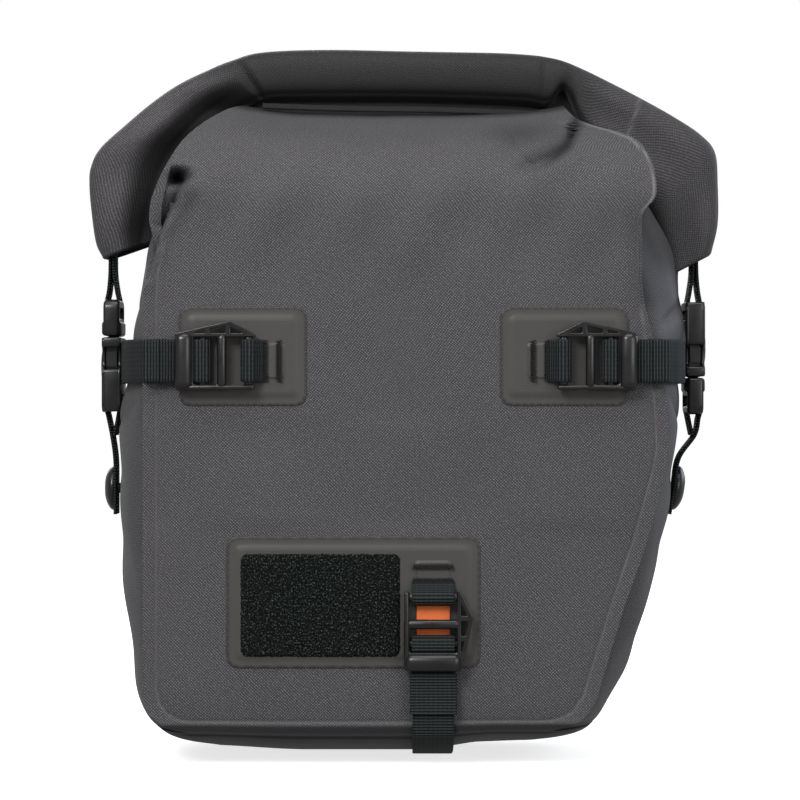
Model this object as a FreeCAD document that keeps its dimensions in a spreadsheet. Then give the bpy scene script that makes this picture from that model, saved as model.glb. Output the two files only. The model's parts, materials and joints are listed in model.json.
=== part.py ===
"""Roll-top bicycle pannier as a parametric assembly.

Millimetres.  X runs across the bag, -Y is the outer (road) side, +Y the rack side, +Z up.
The origin is on the floor, at the middle of the bag's footprint box.
"""
import FreeCAD, Part
import os
import re

import Sketcher

X_AXIS = FreeCAD.Vector(1, 0, 0)
Y_AXIS = FreeCAD.Vector(0, 1, 0)
SIDES = (("left", -1), ("right", 1))

# The shell is lofted through level sections.  Each row holds one section: its height, the reach of
# the front panel to the left and right, how far the front stands forward, the reach of the bulging
# gussets to the left and right, and how far the back stands rearward.
STATION_COLUMNS = (
    "level",
    "front_left",
    "front_right",
    "front_reach",
    "side_left",
    "side_right",
    "back_reach",
)
STATIONS = (
    (0.0, 90.0, 58.0, 50.0, 99.0, 68.0, 36.0),
    (20.0, 99.0, 67.0, 74.5, 122.0, 92.0, 55.5),
    (44.0, 112.6, 85.5, 74.5, 129.5, 106.0, 55.5),
    (100.0, 112.6, 104.0, 74.5, 133.5, 121.0, 55.5),
    (145.0, 112.6, 115.0, 74.5, 133.0, 128.0, 55.5),
    (205.0, 111.0, 111.0, 74.5, 128.0, 131.0, 55.5),
    (245.0, 111.0, 109.0, 74.5, 119.0, 124.0, 55.5),
    (262.0, 105.0, 104.0, 74.5, 112.0, 118.0, 55.5),
    (306.0, 84.0, 79.0, 21.5, 86.0, 81.0, 2.5),
)

# The closure's right-hand outline, from the underside of the roll round the hanging ear to its top.
EAR_OUTLINE = (
    (88.0, 307.0),
    (96.0, 300.0),
    (113.0, 277.0),
    (121.0, 256.0),
    (130.0, 243.0),
    (134.5, 230.0),
    (146.5, 230.0),
    (149.5, 240.0),
    (149.5, 284.0),
    (120.0, 308.0),
    (77.0, 334.0),
)

# The stiffener board follows the back panel's tapered outline.
BOARD_OUTLINE = (
    (-106.0, 50.0),
    (78.0, 50.0),
    (100.0, 110.0),
    (105.0, 150.0),
    (104.0, 250.0),
    (-106.0, 250.0),
)

DIMENSIONS = {
    # shell
    "wall": 1.5,
    "front_face": 74.5,
    "back_face": 55.5,
    "middle": 9.5,
    "base_top": 20.0,
    "shoulder": 262.0,
    "mouth_top": 306.0,
    "split_margin": 160.0,
    "gap": 0.3,
    # closure: the rolled mouth and its hanging ends
    "roll_depth": 34.0,
    "ear_foot": 230.0,
    "batten_half": 70.0,
    "batten_level": 320.0,
    "batten_thickness": 1.2,
    "batten_depth": 25.0,
    # webbing
    "webbing": 20.0,
    "webbing_thickness": 1.3,
    # welded patches
    "patch_thickness": 1.2,
    "patch_corner": 6.0,
    "patch_level": 186.5,
    "patch_height": 45.0,
    "patch_outer": 102.0,
    "patch_inner": 44.0,
    "low_patch_left": 80.4,
    "low_patch_right": 34.8,
    "low_patch_foot": 44.8,
    "low_patch_height": 59.7,
    "loop_field_left": 74.1,
    "loop_field_width": 72.7,
    "loop_field_foot": 49.9,
    "loop_field_height": 47.2,
    "loop_field_thickness": 1.6,
    "tab_foot": 60.5,
    "tab_height": 12.5,
    "tab_width": 13.9,
    "tab_thickness": 0.6,
    # ladder-lock tensioners; lengths run from the cam end
    "lock_length": 36.7,
    "lock_half": 13.4,
    "lock_window_half": 10.7,
    "lock_apex": 18.1,
    "lock_apex_at": 24.8,
    "lock_shoulder": 11.6,
    "hole_foot": 12.6,
    "near_hole_start": 9.3,
    "near_hole_end": 14.3,
    "near_hole_top": 13.7,
    "middle_hole_start": 16.0,
    "middle_hole_end": 23.6,
    "middle_hole_top": 16.3,
    "middle_hole_shoulder": 14.2,
    "far_hole_start": 25.4,
    "far_hole_end": 31.0,
    "far_hole_top": 15.9,
    "lock_back": 2.2,
    "lock_thickness": 4.6,
    "cam_length": 7.5,
    "cam_back": 3.5,
    "cam_thickness": 5.5,
    "strap_bar_at": 10.7,
    "strap_bar_length": 3.4,
    "strap_bar_back": 2.6,
    "strap_bar_thickness": 2.6,
    "middle_bar_at": 19.3,
    "middle_bar_length": 3.3,
    "loop_bar_at": 33.5,
    "loop_bar_radius": 2.0,
    "loop_bar_out": 4.4,
    "loop_wall": 1.4,
    "loop_tail": 16.5,
    "strap_lead": 5.0,
    "side_tail": 14.0,
    "low_tail": 19.0,
    "lock_left_end": 103.7,
    "lock_right_end": 106.1,
    "lock_level": 184.3,
    "low_lock_x": 13.5,
    "low_lock_foot": 43.6,
    # compression straps
    "strap_corner": 114.6,
    "strap_side": 131.0,
    "strap_turn": 33.5,
    "strap_rear_end": 98.0,
    "low_bend_drop": 1.0,
    "low_end_inner_y": 54.1,
    "low_end_inner_level": 2.4,
    "low_end_outer_y": 55.0,
    "low_end_outer_level": 1.2,
    # side-release buckles; lengths run from the line where the two halves meet
    "buckle_x": 137.3,
    "buckle_thickness": 9.0,
    "buckle_width": 30.0,
    "left_meeting": 196.4,
    "right_meeting": 177.4,
    "female_length": 35.5,
    "female_cavity": 26.0,
    "cavity_width": 23.0,
    "cavity_thickness": 5.8,
    "window_start": 5.6,
    "window_length": 9.0,
    "male_length": 17.6,
    "buckle_bar": 4.0,
    "buckle_bar_thickness": 3.5,
    "buckle_slot": 4.6,
    "buckle_slot_width": 22.0,
    "eye_neck": 6.0,
    "guide_width": 4.4,
    "guide_length": 20.0,
    "arm_width": 3.0,
    "arm_offset": 6.8,
    "arm_length": 22.0,
    "arm_root": 1.5,
    "arm_thickness": 4.8,
    "barb_start": 7.0,
    "barb_length": 7.0,
    "barb_reach": 13.0,
    "anchor_level": 125.0,
    "anchor_radius": 10.5,
    "anchor_dome": 14.0,
    "anchor_height": 4.5,
    "anchor_shank": 2.5,
    "anchor_shank_length": 11.0,
    "anchor_backing_radius": 9.0,
    "anchor_backing_thickness": 1.5,
    "left_anchor_x": 136.8,
    "right_anchor_x": 128.6,
    "anchor_margin": 2.0,
    "strap_lean": 2.0,
    "right_lean": 9.09,
    # rack side
    "board_thickness": 3.0,
    "rail_half": 108.0,
    "rail_level": 234.0,
    "rail_spacer": 3.0,
    "rail_spacer_height": 14.0,
    "rail_flange": 2.5,
    "rail_flange_height": 24.0,
    "low_rail_half": 70.0,
    "low_rail_level": 78.0,
    "low_rail_flange_height": 20.0,
    "low_rail_spacer_height": 10.0,
    "screw_radius": 2.5,
    "screw_head": 4.5,
    "screw_reach": 16.0,
    "nut_radius": 4.6,
    "nut_thickness": 4.0,
    "outer_screw_x": 102.0,
    "inner_screw_x": 58.0,
    "hook_x": 80.0,
    "hook_width": 30.0,
    "hook_base_height": 31.0,
    "hook_base_back": 64.5,
    "tube_y": 74.0,
    "tube_level": 247.0,
    "tube_radius": 5.0,
    "insert_radius": 7.5,
    "hook_radius": 10.7,
    "hook_mouth": 236.0,
    "gate_y": 67.5,
    "gate_level": 232.6,
    "pin_radius": 1.5,
    "knuckle_radius": 2.6,
    "gate_width": 14.0,
    "gate_reach": 16.0,
    "gate_thickness": 2.4,
    "gate_rise": 0.4,
    "coil_length": 4.0,
    "pivot_play": 0.1,
    "lug_thickness": 3.0,
    "slider_width": 30.0,
    "slider_height": 26.0,
    "slider_back": 64.0,
    "fin_radius": 12.0,
    "fin_thickness": 4.0,
    "fin_arm": 7.0,
    "fin_half_height": 8.0,
    "fin_back": 84.0,
    "finger_length": 28.0,
    "pivot_head_thickness": 2.0,
    "handle_x": 36.0,
    "handle_y": 66.0,
    "handle_bar_radius": 2.5,
    "handle_eye": 4.3,
    "handle_drop": 72.0,
    "handle_corner": 10.0,
    "handle_thickness": 3.0,
    "handle_lug": 2.5,
}

doc = FreeCAD.newDocument("Pannier")
sheet = doc.addObject("Spreadsheet::Sheet", "Dims")
sub_parts = []


def fill_sheet():
    """Write every driving dimension into the sheet under its alias."""
    for row, values in enumerate(STATIONS):
        for column, value in zip(STATION_COLUMNS, values):
            DIMENSIONS[f"{column}_{row}"] = value
    for name, table in (("ear", EAR_OUTLINE), ("board", BOARD_OUTLINE)):
        for row, (across, up) in enumerate(table):
            DIMENSIONS[f"{name}_across_{row}"] = across
            DIMENSIONS[f"{name}_up_{row}"] = up
    for line, (alias, value) in enumerate(DIMENSIONS.items(), start=1):
        sheet.set(f"A{line}", alias)
        sheet.set(f"B{line}", str(value))
        sheet.setAlias(f"B{line}", alias)
    doc.recompute()


def formula(text):
    """Turn a formula in plain dimension names into a sheet expression."""
    return re.sub(r"[a-z_]\w*", lambda word: f"Dims.{word.group()}", str(text))


def bind(obj, prop, text):
    obj.setExpression(prop, formula(text))


def bind_base(obj, point):
    for axis, text in zip("xyz", point):
        bind(obj, f"Placement.Base.{axis}", text)


def box(low, size):
    """A box from its low corner and its three sizes, all formulas."""
    solid = doc.addObject("Part::Box", "Block")
    for prop, text in zip(("Length", "Width", "Height"), size):
        bind(solid, prop, text)
    bind_base(solid, low)
    return solid


def centred_box(centre, size):
    """A box given by its centre and its three sizes."""
    low = [f"({middle}) - ({length}) / 2" for middle, length in zip(centre, size)]
    return box(low, size)


TURNS = {
    "x": FreeCAD.Rotation(Y_AXIS, 90),
    "y": FreeCAD.Rotation(X_AXIS, -90),
    "z": FreeCAD.Rotation(),
}


def rod(axis, start, radius, length):
    """A cylinder along one axis from the centre of its first face."""
    solid = doc.addObject("Part::Cylinder", "Rod")
    solid.Placement = FreeCAD.Placement(FreeCAD.Vector(), TURNS[axis])
    bind(solid, "Radius", radius)
    bind(solid, "Height", length)
    bind_base(solid, start)
    return solid


def fuse(*solids):
    joined = doc.addObject("Part::MultiFuse", "Joined")
    joined.Shapes = list(solids)
    return joined


def cut(solid, *tools):
    for tool in tools:
        trimmed = doc.addObject("Part::Cut", "Trimmed")
        trimmed.Base = solid
        trimmed.Tool = tool
        solid = trimmed
    return solid


def common(solid, tool):
    shared = doc.addObject("Part::Common", "Shared")
    shared.Base = solid
    shared.Tool = tool
    return shared


def group(*solids):
    """Separate identical fasteners kept in one sub-part."""
    gathered = doc.addObject("Part::Compound", "Gathered")
    gathered.Links = list(solids)
    return gathered


def sub_part(label, obj):
    obj.Label = label
    sub_parts.append(obj)
    return obj


def draw_loop(sketch, points):
    """Add one closed polygon whose corners are bound to formulas."""
    first = sketch.GeometryCount
    count = len(points)
    corners = []
    for across, up in points:
        values = [float(sketch.evalExpression(formula(text))) for text in (across, up)]
        corners.append(FreeCAD.Vector(values[0], values[1], 0))
    for index in range(count):
        sketch.addGeometry(Part.LineSegment(corners[index], corners[(index + 1) % count]), False)
    for index in range(count):
        following = first + (index + 1) % count
        sketch.addConstraint(Sketcher.Constraint("Coincident", first + index, 2, following, 1))
    for index, point in enumerate(points):
        for kind, text, value in zip(("DistanceX", "DistanceY"), point, corners[index]):
            number = sketch.addConstraint(Sketcher.Constraint(kind, -1, 1, first + index, 1, value))
            bind(sketch, f"Constraints[{number}]", text)


def pad(plane, start, length, *loops, corner=None):
    """A body padded from one origin plane; corner rounds the edges that run along the pad."""
    body = doc.addObject("PartDesign::Body", "Padded")
    sketch = body.newObject("Sketcher::SketchObject", "Outline")
    origin_plane = next(item for item in body.Origin.OriginFeatures if item.Role == plane)
    sketch.AttachmentSupport = [(origin_plane, "")]
    sketch.MapMode = "FlatFace"
    bind(sketch, "AttachmentOffset.Base.z", start)
    for points in loops:
        draw_loop(sketch, points)
    feature = body.newObject("PartDesign::Pad", "Pad")
    feature.Profile = sketch
    bind(feature, "Length", length)
    doc.recompute()
    if corner:
        normal = {"XZ_Plane": Y_AXIS, "YZ_Plane": X_AXIS}[plane]
        edges = []
        for index, edge in enumerate(feature.Shape.Edges, start=1):
            if abs(edge.tangentAt(edge.FirstParameter).dot(normal)) > 0.999:
                edges.append(f"Edge{index}")
        rounded = body.newObject("PartDesign::Fillet", "Corners")
        rounded.Base = (feature, edges)
        bind(rounded, "Radius", corner)
    return body


def rectangle(low_x, low_z, wide, high):
    return (
        (low_x, low_z),
        (f"{low_x} + {wide}", low_z),
        (f"{low_x} + {wide}", f"{low_z} + {high}"),
        (low_x, f"{low_z} + {high}"),
    )


# ---------------------------------------------------------------- shell


def section(row, inset, rise):
    """One eight-sided level section of the shell, drawn inset from its outside."""
    front = f"-front_reach_{row} + {inset}"
    back = f"back_reach_{row} - {inset}"
    turn_front = f"-middle - (front_reach_{row} + back_reach_{row}) / 4"
    turn_back = f"-middle + (front_reach_{row} + back_reach_{row}) / 4"
    corners = (
        (f"-front_left_{row} + {inset}", front),
        (f"front_right_{row} - {inset}", front),
        (f"side_right_{row} - {inset}", turn_front),
        (f"side_right_{row} - {inset}", turn_back),
        (f"front_right_{row} - {inset}", back),
        (f"-front_left_{row} + {inset}", back),
        (f"-side_left_{row} + {inset}", turn_back),
        (f"-side_left_{row} + {inset}", turn_front),
    )
    sketch = doc.addObject("Sketcher::SketchObject", "Section")
    bind(sketch, "Placement.Base.z", f"level_{row} + {rise}")
    draw_loop(sketch, corners)
    return sketch


def hull(inset, rises):
    loft = doc.addObject("Part::Loft", "Hull")
    loft.Sections = [section(row, inset, rises.get(row, "0")) for row in range(len(STATIONS))]
    loft.Solid = True
    loft.Ruled = True
    return loft


def slab(low, high):
    """A box between two opposite corners."""
    return box(low, [f"({top}) - ({bottom})" for bottom, top in zip(low, high)])


def build_shell():
    """Loft the shell and part it into the panels it is welded from."""
    last = len(STATIONS) - 1
    shell = cut(hull("0", {}), hull("wall", {0: "wall", last: "1"}))
    far = "split_margin"
    inner_front = "-front_face + wall"
    inner_back = "back_face - wall"
    regions = {
        "front_panel": ((f"-{far}", f"-{far}", "base_top"), (far, inner_front, "shoulder")),
        "back_panel": ((f"-{far}", inner_back, "base_top"), (far, far, "shoulder")),
        "left_gusset": ((f"-{far}", inner_front, "base_top"), ("0", inner_back, "shoulder")),
        "right_gusset": (("0", inner_front, "base_top"), (far, inner_back, "shoulder")),
        "base_gusset": ((f"-{far}", f"-{far}", "-1"), (far, far, "base_top")),
        "roll_collar": ((f"-{far}", f"-{far}", "shoulder"), (far, far, "mouth_top + 2")),
    }
    pieces = {label: common(shell, slab(*corners)) for label, corners in regions.items()}
    for label in ("front_panel", "base_gusset", "roll_collar"):
        sub_part(label, pieces[label])
    for side, _ in SIDES:
        sub_part(f"{side}_gusset", cut(pieces[f"{side}_gusset"], anchor_shank(side)))
    sub_part("back_panel", cut(pieces["back_panel"], *screw_shanks()))


# ---------------------------------------------------------------- closure


def table_points(name, table):
    """The formulas of one outline table's corners."""
    return tuple((f"{name}_across_{row}", f"{name}_up_{row}") for row in range(len(table)))


def mirrored(points):
    """Complete a right-hand outline with its mirror image."""
    return tuple(points) + tuple((f"-({across})", up) for across, up in reversed(points))


def build_closure():
    right_half = table_points("ear", EAR_OUTLINE)
    roll = pad("XZ_Plane", "middle - roll_depth / 2", "roll_depth", mirrored(right_half))
    batten_size = ("batten_half * 2", "batten_depth", "batten_thickness")
    batten_centre = ("0", "-middle", "batten_level")
    sub_part("roll_closure", cut(roll, centred_box(batten_centre, batten_size)))
    sub_part("roll_stiffener", centred_box(batten_centre, batten_size))


# ---------------------------------------------------------------- side-release buckles


def bar_relief(start):
    """The two pockets that thin a buckle's end bar, and the slot beside it, from start outward."""
    pocket = "(buckle_thickness - buckle_bar_thickness) / 2"
    offset = "(buckle_thickness + buckle_bar_thickness) / 4"
    size = (pocket, "buckle_slot_width", "buckle_bar + 1")
    return [centred_box((f"{sign} * {offset}", "0", start), size) for sign in (-1, 1)]


def female_half():
    """The receiving half, mouth at the origin, length along +Z."""
    body_size = ("buckle_thickness", "buckle_width", "female_length")
    body = centred_box(("0", "0", "female_length / 2"), body_size)
    cavity = box(
        ("-cavity_thickness / 2", "-cavity_width / 2", "-1"),
        ("cavity_thickness", "cavity_width", "female_cavity + 1"),
    )
    windows = box(
        ("-arm_thickness / 2 - gap", "-buckle_width", "window_start"),
        ("arm_thickness + gap * 2", "buckle_width * 2", "window_length"),
    )
    slot = centred_box(
        ("0", "0", "female_length - buckle_bar - buckle_slot / 2"),
        ("buckle_thickness * 2", "buckle_slot_width", "buckle_slot"),
    )
    return cut(body, cavity, windows, slot, *bar_relief("female_length - buckle_bar / 2 + 0.5"))


def male_half():
    """The plug's base and its middle guide; the base runs down from the meeting line."""
    base = box(
        ("-buckle_thickness / 2", "-buckle_width / 2", "-male_length"),
        ("buckle_thickness", "buckle_width", "male_length - gap"),
    )
    guide = box(
        ("-arm_thickness / 2", "-guide_width / 2", "-gap * 2"),
        ("arm_thickness", "guide_width", "guide_length"),
    )
    slot = centred_box(
        ("0", "0", "-male_length + buckle_bar + buckle_slot / 2"),
        ("buckle_thickness * 2", "buckle_slot_width", "buckle_slot"),
    )
    plug = cut(base, slot, *bar_relief("-male_length + buckle_bar / 2 - 0.5"))
    return fuse(plug, guide)


def latch_arm(sign):
    """One sprung arm with the barb that sits in the window; sign picks the -Y or +Y arm."""
    low = {-1: "-arm_offset - arm_width", 1: "arm_offset"}[sign]
    root = rod(
        "x",
        ("-arm_thickness / 2", f"{low} + arm_width / 2", "arm_root"),
        "arm_width / 2",
        "arm_thickness",
    )
    arm_size = ("arm_thickness", "arm_width", "arm_length - arm_root")
    arm = box(("-arm_thickness / 2", low, "arm_root"), arm_size)
    barb_low = {-1: "-barb_reach", 1: "arm_offset + arm_width / 2"}[sign]
    barb = box(
        ("-arm_thickness / 2", barb_low, "barb_start"),
        ("arm_thickness", "barb_reach - arm_offset - arm_width / 2", "barb_length"),
    )
    return fuse(root, arm, barb)


def seat_buckle(obj, side, sign):
    """Stand a buckle piece at its side; the left buckle hangs upside down."""
    turn = FreeCAD.Rotation(Y_AXIS, {"left": 180, "right": 0}[side])
    obj.Placement = FreeCAD.Placement(FreeCAD.Vector(), turn)
    bind_base(obj, (f"{sign} * buckle_x", "-middle", f"{side}_meeting"))
    return obj


def build_side_buckles():
    for side, sign in SIDES:
        sub_part(f"side_buckle_{side}_female", seat_buckle(female_half(), side, sign))
        sub_part(f"side_buckle_{side}_male", seat_buckle(male_half(), side, sign))
        for place, arm_sign in (("front", -1), ("back", 1)):
            arm = seat_buckle(latch_arm(arm_sign), side, sign)
            sub_part(f"latch_arm_{side}_{place}", arm)


def eye_loops(sign, bar_level, outward, tail):
    """The outline of webbing folded round a buckle's bar, with its tail's points, and its eye."""
    half = "(buckle_bar_thickness / 2 + gap)"
    rise = "(buckle_bar / 2 + gap)"
    skin = "webbing_thickness"

    def at(across, up):
        return (f"{sign} * (buckle_x + {across})", f"{bar_level} + {outward} * ({up})")

    outline = [
        at(f"-{half} - {skin}", f"-{rise}"),
        at(f"-{half}", f"-{rise} - {skin}"),
        at(half, f"-{rise} - {skin}"),
        at(f"{half} + {skin}", f"-{rise}"),
        at(f"{half} + {skin}", rise),
        *tail,
        at(f"-{half} - {skin}", rise),
    ]
    eye = [at(f"-{half}", f"-{rise}"), at(half, f"-{rise}"), at(half, rise), at(f"-{half}", rise)]
    return outline, eye


def build_side_straps():
    """Webbing from each ear to its buckle, and from each buckle down to its anchor."""
    upper_bar = {
        "left": "left_meeting + male_length - buckle_bar / 2",
        "right": "right_meeting + female_length - buckle_bar / 2",
    }
    lower_bar = {
        "left": "left_meeting - female_length + buckle_bar / 2",
        "right": "right_meeting - male_length + buckle_bar / 2",
    }
    half_width = "middle - webbing / 2"
    for side, sign in SIDES:
        ear_tail = [
            (f"{sign} * (buckle_x + webbing_thickness)", f"{upper_bar[side]} + eye_neck"),
            (f"{sign} * (buckle_x + webbing_thickness)", "ear_foot"),
            (f"{sign} * (buckle_x - webbing_thickness)", "ear_foot"),
            (f"{sign} * (buckle_x - webbing_thickness)", f"{upper_bar[side]} + eye_neck"),
        ]
        loops = eye_loops(sign, upper_bar[side], 1, ear_tail)
        sub_part(f"roll_strap_{side}", pad("XZ_Plane", half_width, "webbing", *loops))
        lean = {"left": "0", "right": "strap_lean"}[side]
        foot = f"{side}_anchor_x"
        reach = "(anchor_radius + anchor_margin)"
        anchor_tail = [
            (f"{sign} * (buckle_x + webbing_thickness)", f"{lower_bar[side]} - eye_neck"),
            (f"{sign} * ({foot} + {lean})", f"anchor_level + {reach}"),
            (f"{sign} * ({foot} - {lean})", f"anchor_level - {reach}"),
            (f"{sign} * ({foot} - {lean} - webbing_thickness * 2)", f"anchor_level - {reach}"),
            (f"{sign} * ({foot} + {lean} - webbing_thickness * 2)", f"anchor_level + {reach}"),
            (f"{sign} * (buckle_x - webbing_thickness)", f"{lower_bar[side]} - eye_neck"),
        ]
        loops = eye_loops(sign, lower_bar[side], -1, anchor_tail)
        webbing = pad("XZ_Plane", half_width, "webbing", *loops)
        sub_part(f"side_strap_{side}", cut(webbing, anchor_shank(side)))


# ---------------------------------------------------------------- strap anchors


def seat_anchor(obj, side):
    """Stand an anchor piece, drawn along +X from its strap's face, on its gusset."""
    lean = {"left": "180", "right": "right_lean"}[side]
    sign = {"left": -1, "right": 1}[side]
    obj.Placement = FreeCAD.Placement(FreeCAD.Vector(), FreeCAD.Rotation(Y_AXIS, 1))
    bind(obj, "Placement.Rotation.Angle", lean)
    bind_base(obj, (f"{sign} * ({side}_anchor_x + gap / 3)", "-middle", "anchor_level"))
    return obj


def anchor_shank(side):
    """The hole that an anchor's shank makes through strap, gusset and washer."""
    shank = rod("x", ("-anchor_shank_length", "0", "0"), "anchor_shank", "anchor_shank_length")
    return seat_anchor(group(shank), side)


def anchor_button(side):
    """A domed head on a shank that passes through strap and gusset."""
    dome = doc.addObject("Part::Sphere", "Dome")
    bind(dome, "Radius", "anchor_dome")
    bind_base(dome, ("anchor_height - anchor_dome", "0", "0"))
    rim = rod("x", ("0", "0", "0"), "anchor_radius", "anchor_height")
    shank = rod("x", ("-anchor_shank_length", "0", "0"), "anchor_shank", "anchor_shank_length + 1")
    return seat_anchor(fuse(common(dome, rim), shank), side)


def anchor_backing(side):
    washer = rod(
        "x",
        ("-anchor_shank_length + anchor_backing_thickness", "0", "0"),
        "anchor_backing_radius",
        "anchor_backing_thickness",
    )
    bore = rod("x", ("-anchor_shank_length", "0", "0"), "anchor_shank", "anchor_shank_length")
    return seat_anchor(cut(washer, bore), side)


def build_anchors():
    sub_part("anchor_buttons", group(anchor_button("left"), anchor_button("right")))
    sub_part("anchor_backings", group(anchor_backing("left"), anchor_backing("right")))


# ---------------------------------------------------------------- front patches and tensioners


def build_patches():
    foot = "patch_level - patch_height / 2"
    for side, low_x in (("left", "-patch_outer"), ("right", "patch_inner")):
        outline = rectangle(low_x, foot, "patch_outer - patch_inner", "patch_height")
        patch = pad("XZ_Plane", "front_face", "patch_thickness", outline, corner="patch_corner")
        sub_part(f"patch_upper_{side}", patch)
    wide = "low_patch_left + low_patch_right"
    outline = rectangle("-low_patch_left", "low_patch_foot", wide, "low_patch_height")
    sub_part("patch_lower", pad("XZ_Plane", "front_face", "patch_thickness", outline, corner="patch_corner"))
    outline = rectangle("-loop_field_left", "loop_field_foot", "loop_field_width", "loop_field_height")
    on_patch = "front_face + patch_thickness"
    field = pad("XZ_Plane", on_patch, "loop_field_thickness", outline, corner="patch_corner / 2")
    sub_part("loop_field", field)
    outline = rectangle("low_lock_x - tab_width / 2", "tab_foot", "tab_width", "tab_height")
    sub_part("size_tab", pad("XZ_Plane", on_patch, "tab_thickness", outline))


class LockFrame:
    """Where one tensioner lies: 'along' runs from its cam end to its loop bar, 'across' to its wing."""

    def __init__(self, name):
        self.name = name
        self.upright = name == "lower"
        self.sign = -1 if name == "right" else 1
        self.ends = {"left": "-lock_left_end", "right": "lock_right_end", "lower": "low_lock_foot"}
        self.level = {"left": "lock_level", "right": "lock_level", "lower": "low_lock_x"}[name]
        self.tail = "low_tail" if self.upright else "side_tail"

    def along(self, length):
        return f"{self.ends[self.name]} + {self.sign} * ({length})"

    def across(self, width):
        return f"{self.level} + {width}"

    def outward(self, height):
        return f"-front_face - patch_thickness - ({height})"

    def point(self, length, width):
        """A point of the front plane as (X, Z) formulas."""
        pair = (self.along(length), self.across(width))
        return pair[::-1] if self.upright else pair

    def loop(self, *points):
        return tuple(self.point(length, width) for length, width in points)

    def block(self, start, end, half, back, thickness):
        """A box from start to end along, half to each side, standing off the patch by back."""
        low = start if self.sign > 0 else end
        span = f"({end}) - ({start})"
        corner = {
            "along": self.along(low),
            "across": self.across(f"-({half})"),
            "out": self.outward(f"({back}) + ({thickness})"),
        }
        size = {"along": span, "across": f"({half}) * 2", "out": thickness}
        order = ("across", "out", "along") if self.upright else ("along", "out", "across")
        return box([corner[key] for key in order], [size[key] for key in order])

    def bar(self, radius, half):
        """A rod through the loop bar's centre, half to each side."""
        centre = {
            "along": self.along("loop_bar_at"),
            "across": self.across(f"-({half})"),
            "out": self.outward("loop_bar_out"),
        }
        order = ("across", "out", "along") if self.upright else ("along", "out", "across")
        return rod("x" if self.upright else "z", [centre[key] for key in order], radius, f"({half}) * 2")

    def profile(self, points, half):
        """A strap outline seen from its edge, as (along, out) pairs, padded to its width."""
        if self.upright:
            outline = tuple((self.outward(out), self.along(length)) for length, out in points)
            return pad("YZ_Plane", self.across(f"-({half})"), f"({half}) * 2", outline)
        outline = tuple((self.along(length), self.outward(out)) for length, out in points)
        return pad("XY_Plane", self.across(f"-({half})"), f"({half}) * 2", outline)


def lock_body(frame):
    """The moulded tensioner: side rails, drilled truss wing, cam bar, strap bar, middle and loop bars."""
    outline = frame.loop(
        ("0", "-lock_half"),
        ("lock_length", "-lock_half"),
        ("lock_length", "lock_shoulder"),
        ("lock_apex_at", "lock_apex"),
        ("0", "lock_shoulder"),
    )
    near_hole = frame.loop(
        ("near_hole_start", "hole_foot"),
        ("near_hole_end", "hole_foot"),
        ("near_hole_end", "near_hole_top"),
    )
    middle_hole = frame.loop(
        ("middle_hole_start", "hole_foot"),
        ("middle_hole_end", "hole_foot"),
        ("middle_hole_end", "middle_hole_top"),
        ("middle_hole_start", "middle_hole_shoulder"),
    )
    far_hole = frame.loop(
        ("far_hole_start", "hole_foot"),
        ("far_hole_end", "hole_foot"),
        ("far_hole_start", "far_hole_top"),
    )
    start = "front_face + patch_thickness + lock_back"
    plate = pad("XZ_Plane", start, "lock_thickness", outline, near_hole, middle_hole, far_hole)
    window = frame.block("cam_length", "lock_length + 1", "lock_window_half", "0", "20")
    under_cam = frame.block("-1", "cam_length", "lock_window_half", "0", "cam_back")
    cam = frame.block("0", "cam_length", "lock_half - 1", "cam_back", "cam_thickness")
    strap_bar = frame.block(
        "strap_bar_at",
        "strap_bar_at + strap_bar_length",
        "lock_window_half + 1",
        "strap_bar_back",
        "strap_bar_thickness",
    )
    middle_bar = frame.block(
        "middle_bar_at",
        "middle_bar_at + middle_bar_length",
        "lock_window_half + 1",
        "lock_back",
        "lock_thickness",
    )
    loop_bar = frame.bar("loop_bar_radius", "lock_window_half + 1")
    return fuse(cut(plate, window, under_cam), cam, strap_bar, middle_bar, loop_bar)


def strap_end(frame):
    """The strap's end: under the cam bar, round the strap bar and back out as a tail."""
    skin = "webbing_thickness"
    low = "gap"
    second = f"{low} + {skin} + gap"
    top = "strap_bar_back + strap_bar_thickness + gap"
    far = "strap_bar_at + strap_bar_length + gap"
    near = "cam_length + gap"
    points = (
        ("-strap_lead", low),
        (f"{far} + {skin}", low),
        (f"{far} + {skin}", f"{top} + {skin}"),
        (near, f"{top} + {skin}"),
        (near, f"{second} + {skin}"),
        (f"-{frame.tail}", f"{second} + {skin}"),
        (f"-{frame.tail}", second),
        (f"{near} + {skin}", second),
        (f"{near} + {skin}", top),
        (far, top),
        (far, f"{low} + {skin}"),
        ("-strap_lead", f"{low} + {skin}"),
    )
    return frame.profile(points, "webbing / 2 - 0.2")


def webbing_loop(frame):
    """Webbing sewn to the patch and folded round the loop bar."""
    half = "webbing / 2 - 0.3"
    eye = frame.bar("loop_bar_radius + gap + loop_wall", half)
    tail = frame.block("loop_bar_at", "loop_bar_at + loop_tail", half, "0", "loop_wall * 2")
    neck = frame.block("loop_bar_at", "loop_bar_at + loop_bar_out", half, "0", "loop_bar_out")
    return cut(fuse(eye, tail, neck), frame.bar("loop_bar_radius + gap", "webbing"))


def build_tensioners():
    for name in ("left", "right", "lower"):
        frame = LockFrame(name)
        sub_part(f"ladder_lock_{name}", lock_body(frame))
        sub_part(f"strap_end_{name}", strap_end(frame))
        sub_part(f"webbing_loop_{name}", webbing_loop(frame))


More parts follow.
